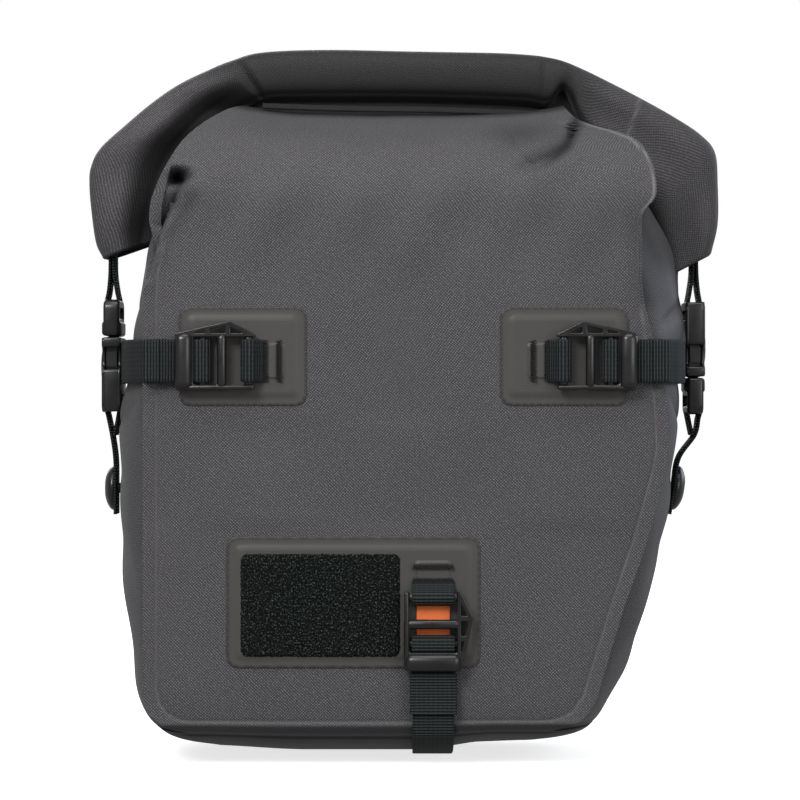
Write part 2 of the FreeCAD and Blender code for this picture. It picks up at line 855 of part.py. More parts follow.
def side_run(side, sign):
    """A compression strap from its tensioner round the gusset to the back panel's edge."""
    skin = "webbing_thickness"
    start = f"lock_{side}_end + strap_lead + gap"
    front = "-front_face - patch_thickness - gap"
    rear = "back_face + gap"
    inner = (
        (start, front),
        ("strap_corner", front),
        ("strap_side", "-middle - strap_turn"),
        ("strap_side", "-middle + strap_turn"),
        ("strap_corner", rear),
        ("strap_rear_end", rear),
    )
    outer = (
        ("strap_rear_end", f"{rear} + {skin}"),
        (f"strap_corner + {skin} / 2", f"{rear} + {skin}"),
        (f"strap_side + {skin}", f"-middle + strap_turn + {skin} / 2"),
        (f"strap_side + {skin}", f"-middle - strap_turn - {skin} / 2"),
        (f"strap_corner + {skin} / 2", f"{front} - {skin}"),
        (start, f"{front} - {skin}"),
    )
    outline = tuple((f"{sign} * ({across})", back) for across, back in inner + outer)
    return pad("XY_Plane", "lock_level - webbing / 2", "webbing", outline)


def low_run():
    """The lower strap: down the front panel and under the base's front slope, where it is sewn."""
    skin = "webbing_thickness"
    front = "-front_face - patch_thickness - gap"
    start = "low_lock_foot - strap_lead - gap"
    outline = (
        (front, start),
        (front, "base_top - low_bend_drop"),
        ("-low_end_inner_y", "low_end_inner_level"),
        ("-low_end_outer_y", "low_end_outer_level"),
        (f"{front} - {skin}", "base_top - low_bend_drop * 1.6"),
        (f"{front} - {skin}", start),
    )
    return pad("YZ_Plane", "low_lock_x - webbing / 2 + 0.3", "webbing - 0.6", outline)


def build_straps():
    for side, sign in SIDES:
        sub_part(f"strap_{side}", side_run(side, sign))
    sub_part("strap_lower", low_run())


# ---------------------------------------------------------------- rack side


def screw_centres():
    """Centres of the six rail screws as (X, Z) formulas."""
    upper = []
    for across in ("outer_screw_x", "inner_screw_x"):
        upper += [(f"{sign} * {across}", "rail_level") for sign in (-1, 1)]
    lower = [(f"{sign} * inner_screw_x", "low_rail_level") for sign in (-1, 1)]
    return upper + lower


def screw_shanks():
    face = "back_face + rail_spacer + rail_flange"
    return [
        rod("y", (across, f"{face} - screw_reach", up), "screw_radius", "screw_reach")
        for across, up in screw_centres()
    ]


def screw_heads():
    """Flat heads sunk flush into the rail flanges."""
    start = "back_face + rail_spacer"
    return [rod("y", (across, start, up), "screw_head", "rail_flange") for across, up in screw_centres()]


def rail(half, level, spacer_height, flange_height):
    """A T-section rail: a narrow spacer against the panel and a wider flange behind it."""
    spacer = box(
        (f"-{half}", "back_face", f"{level} - {spacer_height} / 2"),
        (f"{half} * 2", "rail_spacer", spacer_height),
    )
    flange = box(
        (f"-{half}", "back_face + rail_spacer", f"{level} - {flange_height} / 2"),
        (f"{half} * 2", "rail_flange", flange_height),
    )
    return fuse(spacer, flange)


def handle_mounts():
    """Two cross bars for the carry handle, each held by a pair of lugs."""
    flange_back = "(back_face + rail_spacer + rail_flange)"
    half = "(webbing / 2 + 1)"
    pieces = []
    for sign in (-1, 1):
        centre = f"{sign} * handle_x"
        bar_start = (f"{centre} - {half}", "handle_y", "rail_level")
        pieces.append(rod("x", bar_start, "handle_bar_radius", f"{half} * 2"))
        for edge in (f"{centre} - {half} - handle_lug", f"{centre} + {half}"):
            depth = f"handle_y + handle_bar_radius - {flange_back}"
            low = (edge, flange_back, "rail_level - handle_bar_radius")
            pieces.append(box(low, ("handle_lug", depth, "handle_bar_radius * 2")))
    return pieces


def build_rails():
    upper = rail("rail_half", "rail_level", "rail_spacer_height", "rail_flange_height")
    lower = rail("low_rail_half", "low_rail_level", "low_rail_spacer_height", "low_rail_flange_height")
    sub_part("upper_rail", cut(fuse(upper, *handle_mounts()), *screw_shanks()[:4], *screw_heads()[:4]))
    sub_part("lower_rail", cut(lower, *screw_shanks()[4:], *screw_heads()[4:]))
    screws = [fuse(head, shank) for head, shank in zip(screw_heads(), screw_shanks())]
    sub_part("rail_screws", group(*screws))
    nuts = []
    for (across, up), shank in zip(screw_centres(), screw_shanks()):
        nut = doc.addObject("Part::Prism", "Nut")
        nut.Polygon = 6
        nut.Placement = FreeCAD.Placement(FreeCAD.Vector(), TURNS["y"])
        bind(nut, "Circumradius", "nut_radius")
        bind(nut, "Height", "nut_thickness")
        bind_base(nut, (across, "back_face - wall - board_thickness - nut_thickness", up))
        nuts.append(cut(nut, shank))
    sub_part("rail_nuts", group(*nuts))
    outline = table_points("board", BOARD_OUTLINE)
    board = pad("XZ_Plane", "-back_face + wall", "board_thickness", outline)
    sub_part("stiffener_board", cut(board, *screw_shanks()))


def rail_grip(centre_x, width, level, height, back, spacer_height, flange_height):
    """A block that slides on a T-section rail, gripping the flange from behind."""
    front = "back_face + gap"
    block = centred_box(
        (centre_x, f"({front} + {back}) / 2", level),
        (width, f"{back} - ({front})", height),
    )
    channel = centred_box(
        (centre_x, "back_face + rail_spacer + rail_flange / 2", level),
        (f"{width} * 2", "rail_flange + gap * 2", f"{flange_height} + gap * 2"),
    )
    neck = centred_box(
        (centre_x, "back_face + rail_spacer / 2", level),
        (f"{width} * 2", "rail_spacer", f"{spacer_height} + gap * 2"),
    )
    return block, channel, neck


def rack_hook(centre):
    """A hook that drops over the rack tube; its mouth opens downward."""
    grip, channel, neck = rail_grip(
        centre,
        "hook_width",
        "rail_level",
        "hook_base_height",
        "hook_base_back",
        "rail_spacer_height",
        "rail_flange_height",
    )
    low_x = f"{centre} - hook_width / 2"
    arch = rod("x", (low_x, "tube_y", "tube_level"), "hook_radius", "hook_width")
    legs = box(
        (low_x, "tube_y - hook_radius", "hook_mouth"),
        ("hook_width", "hook_radius * 2", "tube_level - hook_mouth"),
    )
    seat = rod("x", (low_x, "tube_y", "tube_level"), "insert_radius", "hook_width")
    throat = box(
        (low_x, "tube_y - insert_radius", "hook_mouth - 1"),
        ("hook_width", "insert_radius * 2", "tube_level - hook_mouth + 1"),
    )
    lug_size = (
        "lug_thickness",
        "gate_y + knuckle_radius - hook_base_back",
        "hook_mouth - gate_level + knuckle_radius",
    )
    lugs = []
    for edge in (low_x, f"{centre} + hook_width / 2 - lug_thickness"):
        lugs.append(box((edge, "hook_base_back", "gate_level - knuckle_radius"), lug_size))
    pin_bore = rod("x", (low_x, "gate_y", "gate_level"), "pin_radius", "hook_width")
    return cut(fuse(grip, arch, legs, *lugs), channel, neck, seat, throat, pin_bore)


def hook_insert(centre):
    """The liner that fits the hook to the tube."""
    low_x = f"{centre} - hook_width / 2"
    ring = rod("x", (low_x, "tube_y", "tube_level"), "insert_radius", "hook_width")
    legs = box(
        (low_x, "tube_y - insert_radius", "hook_mouth + 1"),
        ("hook_width", "insert_radius * 2", "tube_level - hook_mouth - 1"),
    )
    bore = rod("x", (low_x, "tube_y", "tube_level"), "tube_radius", "hook_width")
    throat = box(
        (low_x, "tube_y - tube_radius", "hook_mouth"),
        ("hook_width", "tube_radius * 2", "tube_level - hook_mouth"),
    )
    return cut(fuse(ring, legs), bore, throat)


def gate(centre):
    """The sprung flap that closes the hook's mouth under the tube."""
    low_x = f"{centre} - gate_width / 2"
    knuckle = rod("x", (low_x, "gate_y", "gate_level"), "knuckle_radius", "gate_width")
    flap = box((low_x, "gate_y", "gate_level + gate_rise"), ("gate_width", "gate_reach", "gate_thickness"))
    bore = rod("x", (low_x, "gate_y", "gate_level"), "pin_radius + pivot_play", "gate_width")
    return cut(fuse(knuckle, flap), bore)


def build_hooks():
    for side, sign in SIDES:
        centre = f"{sign} * hook_x"
        low_x = f"{centre} - hook_width / 2"
        sub_part(f"rack_hook_{side}", rack_hook(centre))
        sub_part(f"hook_insert_{side}", hook_insert(centre))
        sub_part(f"gate_{side}", gate(centre))
        sub_part(f"gate_pin_{side}", rod("x", (low_x, "gate_y", "gate_level"), "pin_radius", "hook_width"))
        coil_start = (f"{centre} + gate_width / 2 + gap", "gate_y", "gate_level")
        coil = rod("x", coil_start, "knuckle_radius", "coil_length")
        coil_bore = rod("x", coil_start, "pin_radius + pivot_play", "coil_length")
        sub_part(f"gate_spring_{side}", cut(coil, coil_bore))


def build_lower_hook():
    """The foot hook: a slider on the lower rail and a fin that swivels on it."""
    grip, channel, neck = rail_grip(
        "0",
        "slider_width",
        "low_rail_level",
        "slider_height",
        "slider_back",
        "low_rail_spacer_height",
        "low_rail_flange_height",
    )
    shank_start = "slider_back - screw_radius"
    shank_length = "fin_thickness + screw_radius + gap * 2"
    shank = rod("y", ("0", shank_start, "low_rail_level"), "screw_radius", shank_length)
    sub_part("lower_slider", cut(grip, channel, neck, shank))
    head_start = ("0", "slider_back + fin_thickness + gap * 2", "low_rail_level")
    head = rod("y", head_start, "screw_head", "pivot_head_thickness")
    sub_part("hook_pivot_screw", fuse(shank, head))
    start = "slider_back + gap"
    boss = rod("y", ("0", start, "low_rail_level"), "fin_radius", "fin_thickness")
    arm = box(
        ("-fin_radius", start, "low_rail_level - fin_half_height"),
        ("fin_arm", f"fin_back - ({start})", "fin_half_height * 2"),
    )
    finger = box(
        ("-fin_radius", "fin_back - fin_thickness", "low_rail_level - fin_half_height"),
        ("finger_length", "fin_thickness", "fin_half_height * 2"),
    )
    bore_start = ("0", f"{start} - 1", "low_rail_level")
    bore = rod("y", bore_start, "screw_radius + pivot_play", "fin_thickness + 2")
    sub_part("lower_hook", cut(fuse(boss, arm, finger), bore))


def build_handle():
    """The webbing carry handle, hanging from the upper rail's cross bars."""
    leg_half = "(webbing / 2)"
    outer = (
        (f"handle_x + {leg_half}", "rail_level"),
        (f"handle_x + {leg_half}", "rail_level - handle_drop + handle_corner"),
        (f"handle_x + {leg_half} - handle_corner", "rail_level - handle_drop"),
    )
    inner = (
        (f"handle_x - {leg_half}", "rail_level - handle_drop + webbing + handle_corner / 2"),
        (f"handle_x - {leg_half}", "rail_level"),
    )
    outline = outer + tuple((f"-({across})", up) for across, up in reversed(outer))
    outline += tuple((f"-({across})", up) for across, up in reversed(inner)) + inner
    strap = pad("XZ_Plane", "-handle_y - handle_thickness / 2", "handle_thickness", outline)
    eyes = []
    bores = []
    for sign in (-1, 1):
        start = (f"{sign} * handle_x - {leg_half}", "handle_y", "rail_level")
        eyes.append(rod("x", start, "handle_eye", "webbing"))
        bores.append(rod("x", start, "handle_bar_radius + gap", "webbing"))
    sub_part("carry_handle", cut(fuse(strap, *eyes), *bores))


# ---------------------------------------------------------------- build and write


def check_document():
    """Stop if any object failed or any sub-part has no sound shape."""
    broken = [obj.Name for obj in doc.Objects if {"Invalid", "Error"} & set(obj.State)]
    broken += [obj.Label for obj in sub_parts if obj.Shape.isNull() or not obj.Shape.isValid()]
    if broken:
        raise RuntimeError(f"failed objects: {broken}")


def write_parts():
    os.makedirs("parts", exist_ok=True)
    for obj in sub_parts:
        obj.Shape.exportStep(os.path.join("parts", f"{obj.Label}.step"))


fill_sheet()
build_shell()
build_closure()
build_side_buckles()
build_side_straps()
build_anchors()
build_patches()
build_tensioners()
build_straps()
build_rails()
build_hooks()
build_lower_hook()
build_handle()
doc.recompute()
check_document()
write_parts()
for sub in sub_parts:
    extent = sub.Shape.BoundBox
    print(f"{sub.Label:28s} solids {len(sub.Shape.Solids)} volume {sub.Shape.Volume:9.0f}", extent)
print(len(sub_parts), "sub-parts")
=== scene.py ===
"""The looks of a roll-top bicycle pannier, built round its packed assembly.

Shapes are worked out in millimetres in the part's own frame: X runs across the bag, -Y is the road side,
+Y the rack side and +Z is up. They turn to metres when a mesh is made.
"""

from __future__ import annotations

import json
import logging
import math
from dataclasses import dataclass
from enum import Enum
from typing import Sequence

import bmesh
import bpy
import numpy as np
from mathutils import Matrix, Vector

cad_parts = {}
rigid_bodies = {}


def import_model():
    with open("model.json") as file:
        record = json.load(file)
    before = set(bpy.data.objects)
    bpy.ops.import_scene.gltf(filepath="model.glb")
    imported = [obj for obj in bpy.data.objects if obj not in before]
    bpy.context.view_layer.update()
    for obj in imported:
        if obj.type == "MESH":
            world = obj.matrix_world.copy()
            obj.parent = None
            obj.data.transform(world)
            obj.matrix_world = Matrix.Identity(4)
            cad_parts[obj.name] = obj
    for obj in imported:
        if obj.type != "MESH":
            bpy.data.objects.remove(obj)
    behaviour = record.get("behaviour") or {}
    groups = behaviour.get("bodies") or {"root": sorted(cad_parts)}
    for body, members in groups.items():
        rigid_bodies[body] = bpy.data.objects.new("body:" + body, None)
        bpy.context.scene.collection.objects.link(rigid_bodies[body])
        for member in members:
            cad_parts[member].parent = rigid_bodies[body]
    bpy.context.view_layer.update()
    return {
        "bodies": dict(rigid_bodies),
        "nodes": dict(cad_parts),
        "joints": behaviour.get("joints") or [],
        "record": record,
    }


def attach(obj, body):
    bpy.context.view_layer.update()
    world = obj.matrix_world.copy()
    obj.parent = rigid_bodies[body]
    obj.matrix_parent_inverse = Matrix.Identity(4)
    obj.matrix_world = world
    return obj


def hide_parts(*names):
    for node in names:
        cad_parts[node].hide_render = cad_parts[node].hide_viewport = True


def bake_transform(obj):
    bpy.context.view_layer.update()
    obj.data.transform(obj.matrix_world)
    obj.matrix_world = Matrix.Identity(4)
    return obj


LOG = logging.getLogger("pannier")
MM = 0.001
FRONT = -74.5
BACK = 55.5
MIDDLE = -9.5
STRAP_LEVEL = 184.3
LOWER_STRAP_X = 13.5
UV_NAME = "mm"
Point = tuple[float, float]


class Side(Enum):
    """The two ends of the bag, by the sign of X."""

    LEFT = -1
    RIGHT = 1

    @property
    def word(self) -> str:
        """The side's name as the assembly spells it."""
        return self.name.lower()


# ---------------------------------------------------------------- numbers


def linear(code: str) -> tuple[float, float, float, float]:
    """Turn an sRGB hex colour to linear light.

    Args:
        code: six hex digits after a hash.

    Returns:
        Red, green, blue and an alpha of one.
    """
    parts = [int(code[start : start + 2], 16) / 255 for start in (1, 3, 5)]
    red, green, blue = (v / 12.92 if v <= 0.04045 else ((v + 0.055) / 1.055) ** 2.4 for v in parts)
    return (red, green, blue, 1.0)


def step(low: float, high: float, value: np.ndarray) -> np.ndarray:
    """Rise smoothly from 0 at low to 1 at high."""
    share = np.clip((np.asarray(value, float) - low) / (high - low), 0, 1)
    return share * share * (3 - 2 * share)


def through(value: np.ndarray, table: Sequence[Point]) -> np.ndarray:
    """Read a smooth curve that passes through a table without overshooting it.

    Args:
        value: where to read it.
        table: pairs of place and height, places rising.

    Returns:
        The curve's heights.
    """
    at, high = np.array(table, float).T
    run = np.diff(at)
    slope = np.diff(high) / run
    tangent = np.concatenate([[slope[0]], (slope[:-1] + slope[1:]) / 2, [slope[-1]]])
    tangent[1:-1][slope[:-1] * slope[1:] <= 0] = 0
    limit = 3 * np.minimum(np.append(np.abs(slope), np.inf), np.insert(np.abs(slope), 0, np.inf))
    tangent = np.clip(tangent, -limit, limit)
    place = np.clip(np.asarray(value, float), at[0], at[-1])
    index = np.clip(np.searchsorted(at, place, side="right") - 1, 0, len(run) - 1)
    share = (place - at[index]) / run[index]
    back = share - 1
    return (
        (1 + 2 * share) * back**2 * high[index]
        + share * back**2 * run[index] * tangent[index]
        + share**2 * (3 - 2 * share) * high[index + 1]
        + share**2 * back * run[index] * tangent[index + 1]
    )


def smooth_line(points: Sequence[Sequence[float]], spacing: float = 1.0) -> np.ndarray:
    """Pass a smooth line through some points.

    Args:
        points: the points, in order.
        spacing: the distance between the line's own points.

    Returns:
        The line's points, one row each.
    """
    given = np.array(points, float)
    padded = np.vstack([2 * given[0] - given[1], given, 2 * given[-1] - given[-2]])
    rows = []
    for first, a, b, last in zip(padded, padded[1:], padded[2:], padded[3:]):
        count = max(2, int(np.linalg.norm(b - a) / spacing))
        share = np.linspace(0, 1, count, endpoint=False)[:, None]
        leave, arrive = (b - first) / 2, (last - a) / 2
        rows.append(
            (2 * share**3 - 3 * share**2 + 1) * a
            + (share**3 - 2 * share**2 + share) * leave
            + (3 * share**2 - 2 * share**3) * b
            + (share**3 - share**2) * arrive
        )
    return np.vstack([*rows, given[-1:]])


def to_line(
    x: np.ndarray, z: np.ndarray, line: Sequence[Point]
) -> tuple[np.ndarray, np.ndarray, np.ndarray]:
    """Measure how far points of a plane lie from a run of straight pieces.

    Args:
        x: the points' first coordinates.
        z: the points' second coordinates.
        line: the run's corners.

    Returns:
        The distances, the side as a sign (positive on the left going along), and the share along the run.
    """
    best = np.full(np.shape(x), 1e9)
    sign = np.zeros(np.shape(x))
    share = np.zeros(np.shape(x))
    count = len(line) - 1
    for index, ((ax, az), (bx, bz)) in enumerate(zip(line, line[1:])):
        dx, dz = bx - ax, bz - az
        part = np.clip(((x - ax) * dx + (z - az) * dz) / (dx * dx + dz * dz), 0, 1)
        away = np.hypot(x - ax - part * dx, z - az - part * dz)
        nearer = away < best
        best = np.where(nearer, away, best)
        sign = np.where(nearer, np.sign(dx * (z - az) - dz * (x - ax)), sign)
        share = np.where(nearer, (index + part) / count, share)
    return best, sign, share


def rounded(corners: Sequence[Point], radius: float, steps: int = 4) -> list[Point]:
    """Round the corners of a closed outline.

    Args:
        corners: the outline's corners, in order.
        radius: how far each corner's round reaches back along its two sides.
        steps: how many pieces make one round.

    Returns:
        The rounded outline's points.
    """
    result: list[Point] = []
    count = len(corners)
    for index in range(count):
        before, here, after = (np.array(corners[(index + k) % count], float) for k in (-1, 0, 1))
        reach = min(radius, np.linalg.norm(before - here) / 2.1, np.linalg.norm(after - here) / 2.1)
        start = here + (before - here) / np.linalg.norm(before - here) * reach
        end = here + (after - here) / np.linalg.norm(after - here) * reach
        for share in np.linspace(0, 1, steps + 1):
            spot = (1 - share) ** 2 * start + 2 * share * (1 - share) * here + share**2 * end
            result.append((float(spot[0]), float(spot[1])))
    return result


def rectangle(low: Point, high: Point) -> list[Point]:
    """The corners of an upright rectangle, anticlockwise."""
    return [low, (high[0], low[1]), high, (low[0], high[1])]


# ---------------------------------------------------------------- nodes and finishes


def add_node(
    tree: bpy.types.NodeTree,
    kind: str,
    settings: dict[str | int, object] | None = None,
    links: dict[str | int, bpy.types.NodeSocket] | None = None,
) -> bpy.types.Node:
    """Add a node, set it and link its inputs.

    Args:
        tree: the material's nodes.
        kind: the node's type, without its usual first word.
        settings: values for properties, or for input sockets by name or number.
        links: output sockets to link to inputs, by name or number.

    Returns:
        The new node.
    """
    node = tree.nodes.new("ShaderNode" + kind)
    for key, value in (settings or {}).items():
        if isinstance(key, str) and key not in node.inputs:
            setattr(node, key, value)
        else:
            node.inputs[key].default_value = value
    for key, socket in (links or {}).items():
        tree.links.new(socket, node.inputs[key])
    return node


def wave_scale(spacing_mm: float) -> float:
    """The wave texture's scale that repeats every so many millimetres."""
    return math.tau / 20 / spacing_mm


@dataclass(frozen=True)
class Finish:
    """A finish's name and the plain values of its shader."""

    name: str
    colour: str
    roughness: float = 0.5
    metallic: float = 0.0
    specular: float = 0.5
    sheen: float = 0.0
    coat: float = 0.0
    coat_roughness: float = 0.1
    glow: float = 0.0

    def material(self) -> bpy.types.Material:
        """The finish's material, made once.

        Returns:
            The material.
        """
        known = bpy.data.materials.get(self.name)
        if known is not None:
            return known
        made = bpy.data.materials.new(self.name)
        made.use_nodes = True
        tree = made.node_tree
        tree.nodes.clear()
        values = {
            "Base Color": linear(self.colour),
            "Roughness": self.roughness,
            "Metallic": self.metallic,
            "Specular IOR Level": self.specular,
            "Sheen Weight": self.sheen,
            "Sheen Roughness": 0.45,
            "Coat Weight": self.coat,
            "Coat Roughness": self.coat_roughness,
            "Emission Color": linear(self.colour),
            "Emission Strength": self.glow,
        }
        shader = add_node(tree, "BsdfPrincipled", values)
        add_node(tree, "OutputMaterial", links={"Surface": shader.outputs[0]})
        self.dress(tree, shader)
        return made

    def dress(self, tree: bpy.types.NodeTree, shader: bpy.types.Node) -> None:
        """Add the finish's pattern; each finish has its own."""

    def tint(
        self,
        tree: bpy.types.NodeTree,
        share: bpy.types.NodeSocket,
        low: str | bpy.types.NodeSocket,
        high: str | bpy.types.NodeSocket,
    ) -> bpy.types.NodeSocket:
        """Mix two colours.

        Args:
            tree: the material's nodes.
            share: how much of the second colour shows.
            low: the first colour, as hex or a socket.
            high: the second colour, as hex or a socket.

        Returns:
            The mixed colour's socket.
        """
        node = add_node(tree, "Mix", {"data_type": "RGBA"}, {0: share})
        for index, colour in ((6, low), (7, high)):
            if isinstance(colour, str):
                node.inputs[index].default_value = linear(colour)
            else:
                tree.links.new(colour, node.inputs[index])
        return node.outputs[2]


@dataclass(frozen=True)
class WovenFabric(Finish):
    """Nylon cloth woven from fine yarn and coated; the uneven yarn gives it a soft fleck."""

    fleck: str = "#6b696c"
    shade: str = "#2c2b2d"
    # the weld line's colour: the pale one of the shell and roll is a painted highlight along the weld's
    # folded edge, the patches' dark one is their weld rim
    weld_line_and_painted_highlight: str = "#7b797b"
    # coarser than such cloth's own yarn, which would be too fine to show
    yarn_mm: float = 1.0
    slub_mm: float = 1.6
    cloud_mm: float = 38.0
    depth: float = 0.25

    def dress(self, tree: bpy.types.NodeTree, shader: bpy.types.Node) -> None:
        """Weave warp and weft, fleck the yarn, cloud the coating, draw the weld line with its painted
        highlight and mix in painted shade.
        """
        place = add_node(tree, "UVMap", {"uv_map": UV_NAME}).outputs[0]
        twill = add_node(tree, "Mapping", {"Rotation": (0.0, 0.0, 0.72)}, {"Vector": place}).outputs[0]
        threads = []
        for direction in ("X", "Y"):
            settings = {"bands_direction": direction, "Scale": wave_scale(self.yarn_mm), "Distortion": 2.4}
            settings |= {"Detail": 2.0, "Detail Scale": 1.2}
            threads.append(add_node(tree, "TexWave", settings, {"Vector": twill}).outputs["Fac"])
        weave = add_node(tree, "Math", {"operation": "MULTIPLY"}, dict(enumerate(threads)))
        flecks = []
        fine, coarse = 1 / self.yarn_mm, 1 / self.slub_mm
        for stretch in ((coarse, fine, 1.0), (fine, coarse, 1.0)):
            laid = add_node(tree, "Mapping", {"Scale": stretch}, {"Vector": place}).outputs[0]
            noise = add_node(tree, "TexNoise", {"Scale": 1.3, "Detail": 2.0}, {"Vector": laid})
            flecks.append(noise.outputs["Fac"])
        slub = add_node(tree, "Math", {"operation": "MAXIMUM"}, dict(enumerate(flecks)))
        yarns = {0: slub.outputs[0], 2: weave.outputs[0]}
        fleck = add_node(tree, "Math", {"operation": "MULTIPLY_ADD", 1: 1.6}, yarns)
        share = add_node(tree, "MapRange", {"From Min": 1.05, "From Max": 1.95}, {"Value": fleck.outputs[0]})
        cloud = add_node(tree, "TexNoise", {"Scale": 1 / self.cloud_mm, "Detail": 3.0}, {"Vector": place})
        spread = {"From Min": 0.3, "From Max": 0.75, "To Max": 0.35}
        soft = add_node(tree, "MapRange", spread, {"Value": cloud.outputs["Fac"]})
        ground = self.tint(tree, soft.outputs[0], self.colour, self.shade)
        yarn = self.tint(tree, share.outputs[0], ground, self.fleck)
        # the weld line: a paler painted highlight on the shell and the roll, a dark weld rim on the patches
        line = add_node(tree, "Attribute", {"attribute_name": "weld_line_and_painted_highlight"}).outputs["Fac"]
        welded = self.tint(tree, line, yarn, self.weld_line_and_painted_highlight)
        # painted shade: near-black mixed in where the mark says; on the roll and the mouth's wall it also
        # stands for the dark coated inner face
        dark = add_node(tree, "Attribute", {"attribute_name": "painted_shade_and_dark_coat"}).outputs["Fac"]
        tree.links.new(self.tint(tree, dark, welded, "#0b0b0c"), shader.inputs["Base Color"])
        heights = {0: weave.outputs[0], 2: share.outputs[0]}
        grain = add_node(tree, "Math", {"operation": "MULTIPLY_ADD", 1: 0.6}, heights)
        relief = {"Strength": self.depth, "Distance": 0.0004}
        bump = add_node(tree, "Bump", relief, {"Height": grain.outputs[0]})
        tree.links.new(bump.outputs[0], shader.inputs["Normal"])


@dataclass(frozen=True)
class WovenWebbing(Finish):
    """Polypropylene webbing: ribs run across it, broken into rows along it."""

    # the paler colour laid on the rib tops as a painted highlight
    fleck: str = "#565c5c"
    rib_mm: float = 1.7
    rows_mm: float = 2.1

    def dress(self, tree: bpy.types.NodeTree, shader: bpy.types.Node) -> None:
        """Raise the ribs, split them into rows and tint their tops paler as a painted highlight."""
        place = add_node(tree, "UVMap", {"uv_map": UV_NAME}).outputs[0]
        ribs = []
        for direction, spacing in (("Y", self.rib_mm), ("X", self.rows_mm)):
            settings = {"bands_direction": direction, "Scale": wave_scale(spacing)}
            settings |= {"Distortion": 0.5, "Detail Scale": 2.0}
            ribs.append(add_node(tree, "TexWave", settings, {"Vector": place}).outputs["Fac"])
        rows = add_node(tree, "MapRange", {"To Min": 0.7}, {"Value": ribs[1]})
        weave = add_node(tree, "Math", {"operation": "MULTIPLY"}, {0: ribs[0], 1: rows.outputs[0]})
        fuzz = add_node(tree, "TexNoise", {"Scale": 2.2, "Detail": 2.0}, {"Vector": place})
        factors = {0: weave.outputs[0], 1: fuzz.outputs["Fac"]}
        painted_rib_highlight = add_node(tree, "Math", {"operation": "MULTIPLY"}, factors)
        share = add_node(tree, "MapRange", {"From Min": 0.08, "From Max": 0.5}, {"Value": painted_rib_highlight.outputs[0]})
        tinted = self.tint(tree, share.outputs[0], self.colour, self.fleck)
        tree.links.new(tinted, shader.inputs["Base Color"])
        bump = add_node(tree, "Bump", {"Strength": 0.7, "Distance": 0.0006}, {"Height": weave.outputs[0]})
        tree.links.new(bump.outputs[0], shader.inputs["Normal"])


@dataclass(frozen=True)
class LoopPile(Finish):
    """Knitted loop tape: its raised nylon loops catch the light as pale green-grey specks."""

    fleck: str = "#8f9a97"
    loop_mm: float = 0.8

    def dress(self, tree: bpy.types.NodeTree, shader: bpy.types.Node) -> None:
        """Scatter bright loops over the dark knit."""
        place = add_node(tree, "UVMap", {"uv_map": UV_NAME}).outputs[0]
        settings = {"Scale": 1 / self.loop_mm, "Detail": 4.0, "Roughness": 0.7}
        loops = add_node(tree, "TexNoise", settings, {"Vector": place})
        bright = {"From Min": 0.55, "From Max": 0.74}
        share = add_node(tree, "MapRange", bright, {"Value": loops.outputs["Fac"]})
        tinted = self.tint(tree, share.outputs[0], self.colour, self.fleck)
        tree.links.new(tinted, shader.inputs["Base Color"])
        bump = add_node(tree, "Bump", {"Strength": 1.0, "Distance": 0.001}, {"Height": loops.outputs["Fac"]})
        tree.links.new(bump.outputs[0], shader.inputs["Normal"])


@dataclass(frozen=True)
class MouldedPlastic(Finish):
    """Injection-moulded plastic: a faint ripple from the mould, and duller patches from handling."""

    scuffed: str = "#1b1b1c"
    grain_mm: float = 0.5
    patch_mm: float = 9.0
    depth: float = 0.05
    spread: float = 0.12

    def dress(self, tree: bpy.types.NodeTree, shader: bpy.types.Node) -> None:
        """Vary the gloss in soft patches and add the mould's fine grain."""
        spot = add_node(tree, "TexCoord").outputs["Object"]
        place = add_node(tree, "Mapping", {"Scale": (1000, 1000, 1000)}, {"Vector": spot}).outputs[0]
        patch = add_node(tree, "TexNoise", {"Scale": 1 / self.patch_mm, "Detail": 4.0}, {"Vector": place})
        grain = add_node(tree, "TexNoise", {"Scale": 1 / self.grain_mm, "Detail": 1.0}, {"Vector": place})
        limits = {"To Min": self.roughness - self.spread / 2, "To Max": self.roughness + self.spread}
        limits |= {"From Min": 0.3, "From Max": 0.7}
        gloss = add_node(tree, "MapRange", limits, {"Value": patch.outputs["Fac"]})
        tree.links.new(gloss.outputs[0], shader.inputs["Roughness"])
        tinted = self.tint(tree, patch.outputs["Fac"], self.colour, self.scuffed)
        tree.links.new(tinted, shader.inputs["Base Color"])
        relief = {"Strength": self.depth, "Distance": 0.0003}
        bump = add_node(tree, "Bump", relief, {"Height": grain.outputs["Fac"]})
        tree.links.new(bump.outputs[0], shader.inputs["Normal"])


@dataclass(frozen=True)
class DrawnMetal(Finish):
    """Drawn or turned metal: fine lines along X break its gloss into streaks."""

    streak: str = "#8b8c90"
    line_mm: float = 0.6

    def dress(self, tree: bpy.types.NodeTree, shader: bpy.types.Node) -> None:
        """Streak the colour and the gloss along X."""
        spot = add_node(tree, "TexCoord").outputs["Object"]
        scale = (20, 1000 / self.line_mm, 1000 / self.line_mm)
        place = add_node(tree, "Mapping", {"Scale": scale}, {"Vector": spot}).outputs[0]
        lines = add_node(tree, "TexNoise", {"Scale": 1.0, "Detail": 2.0}, {"Vector": place})
        limits = {"To Min": self.roughness - 0.08, "To Max": self.roughness + 0.12}
        gloss = add_node(tree, "MapRange", limits, {"Value": lines.outputs["Fac"]})
        tree.links.new(gloss.outputs[0], shader.inputs["Roughness"])
        tinted = self.tint(tree, lines.outputs["Fac"], self.colour, self.streak)
        tree.links.new(tinted, shader.inputs["Base Color"])


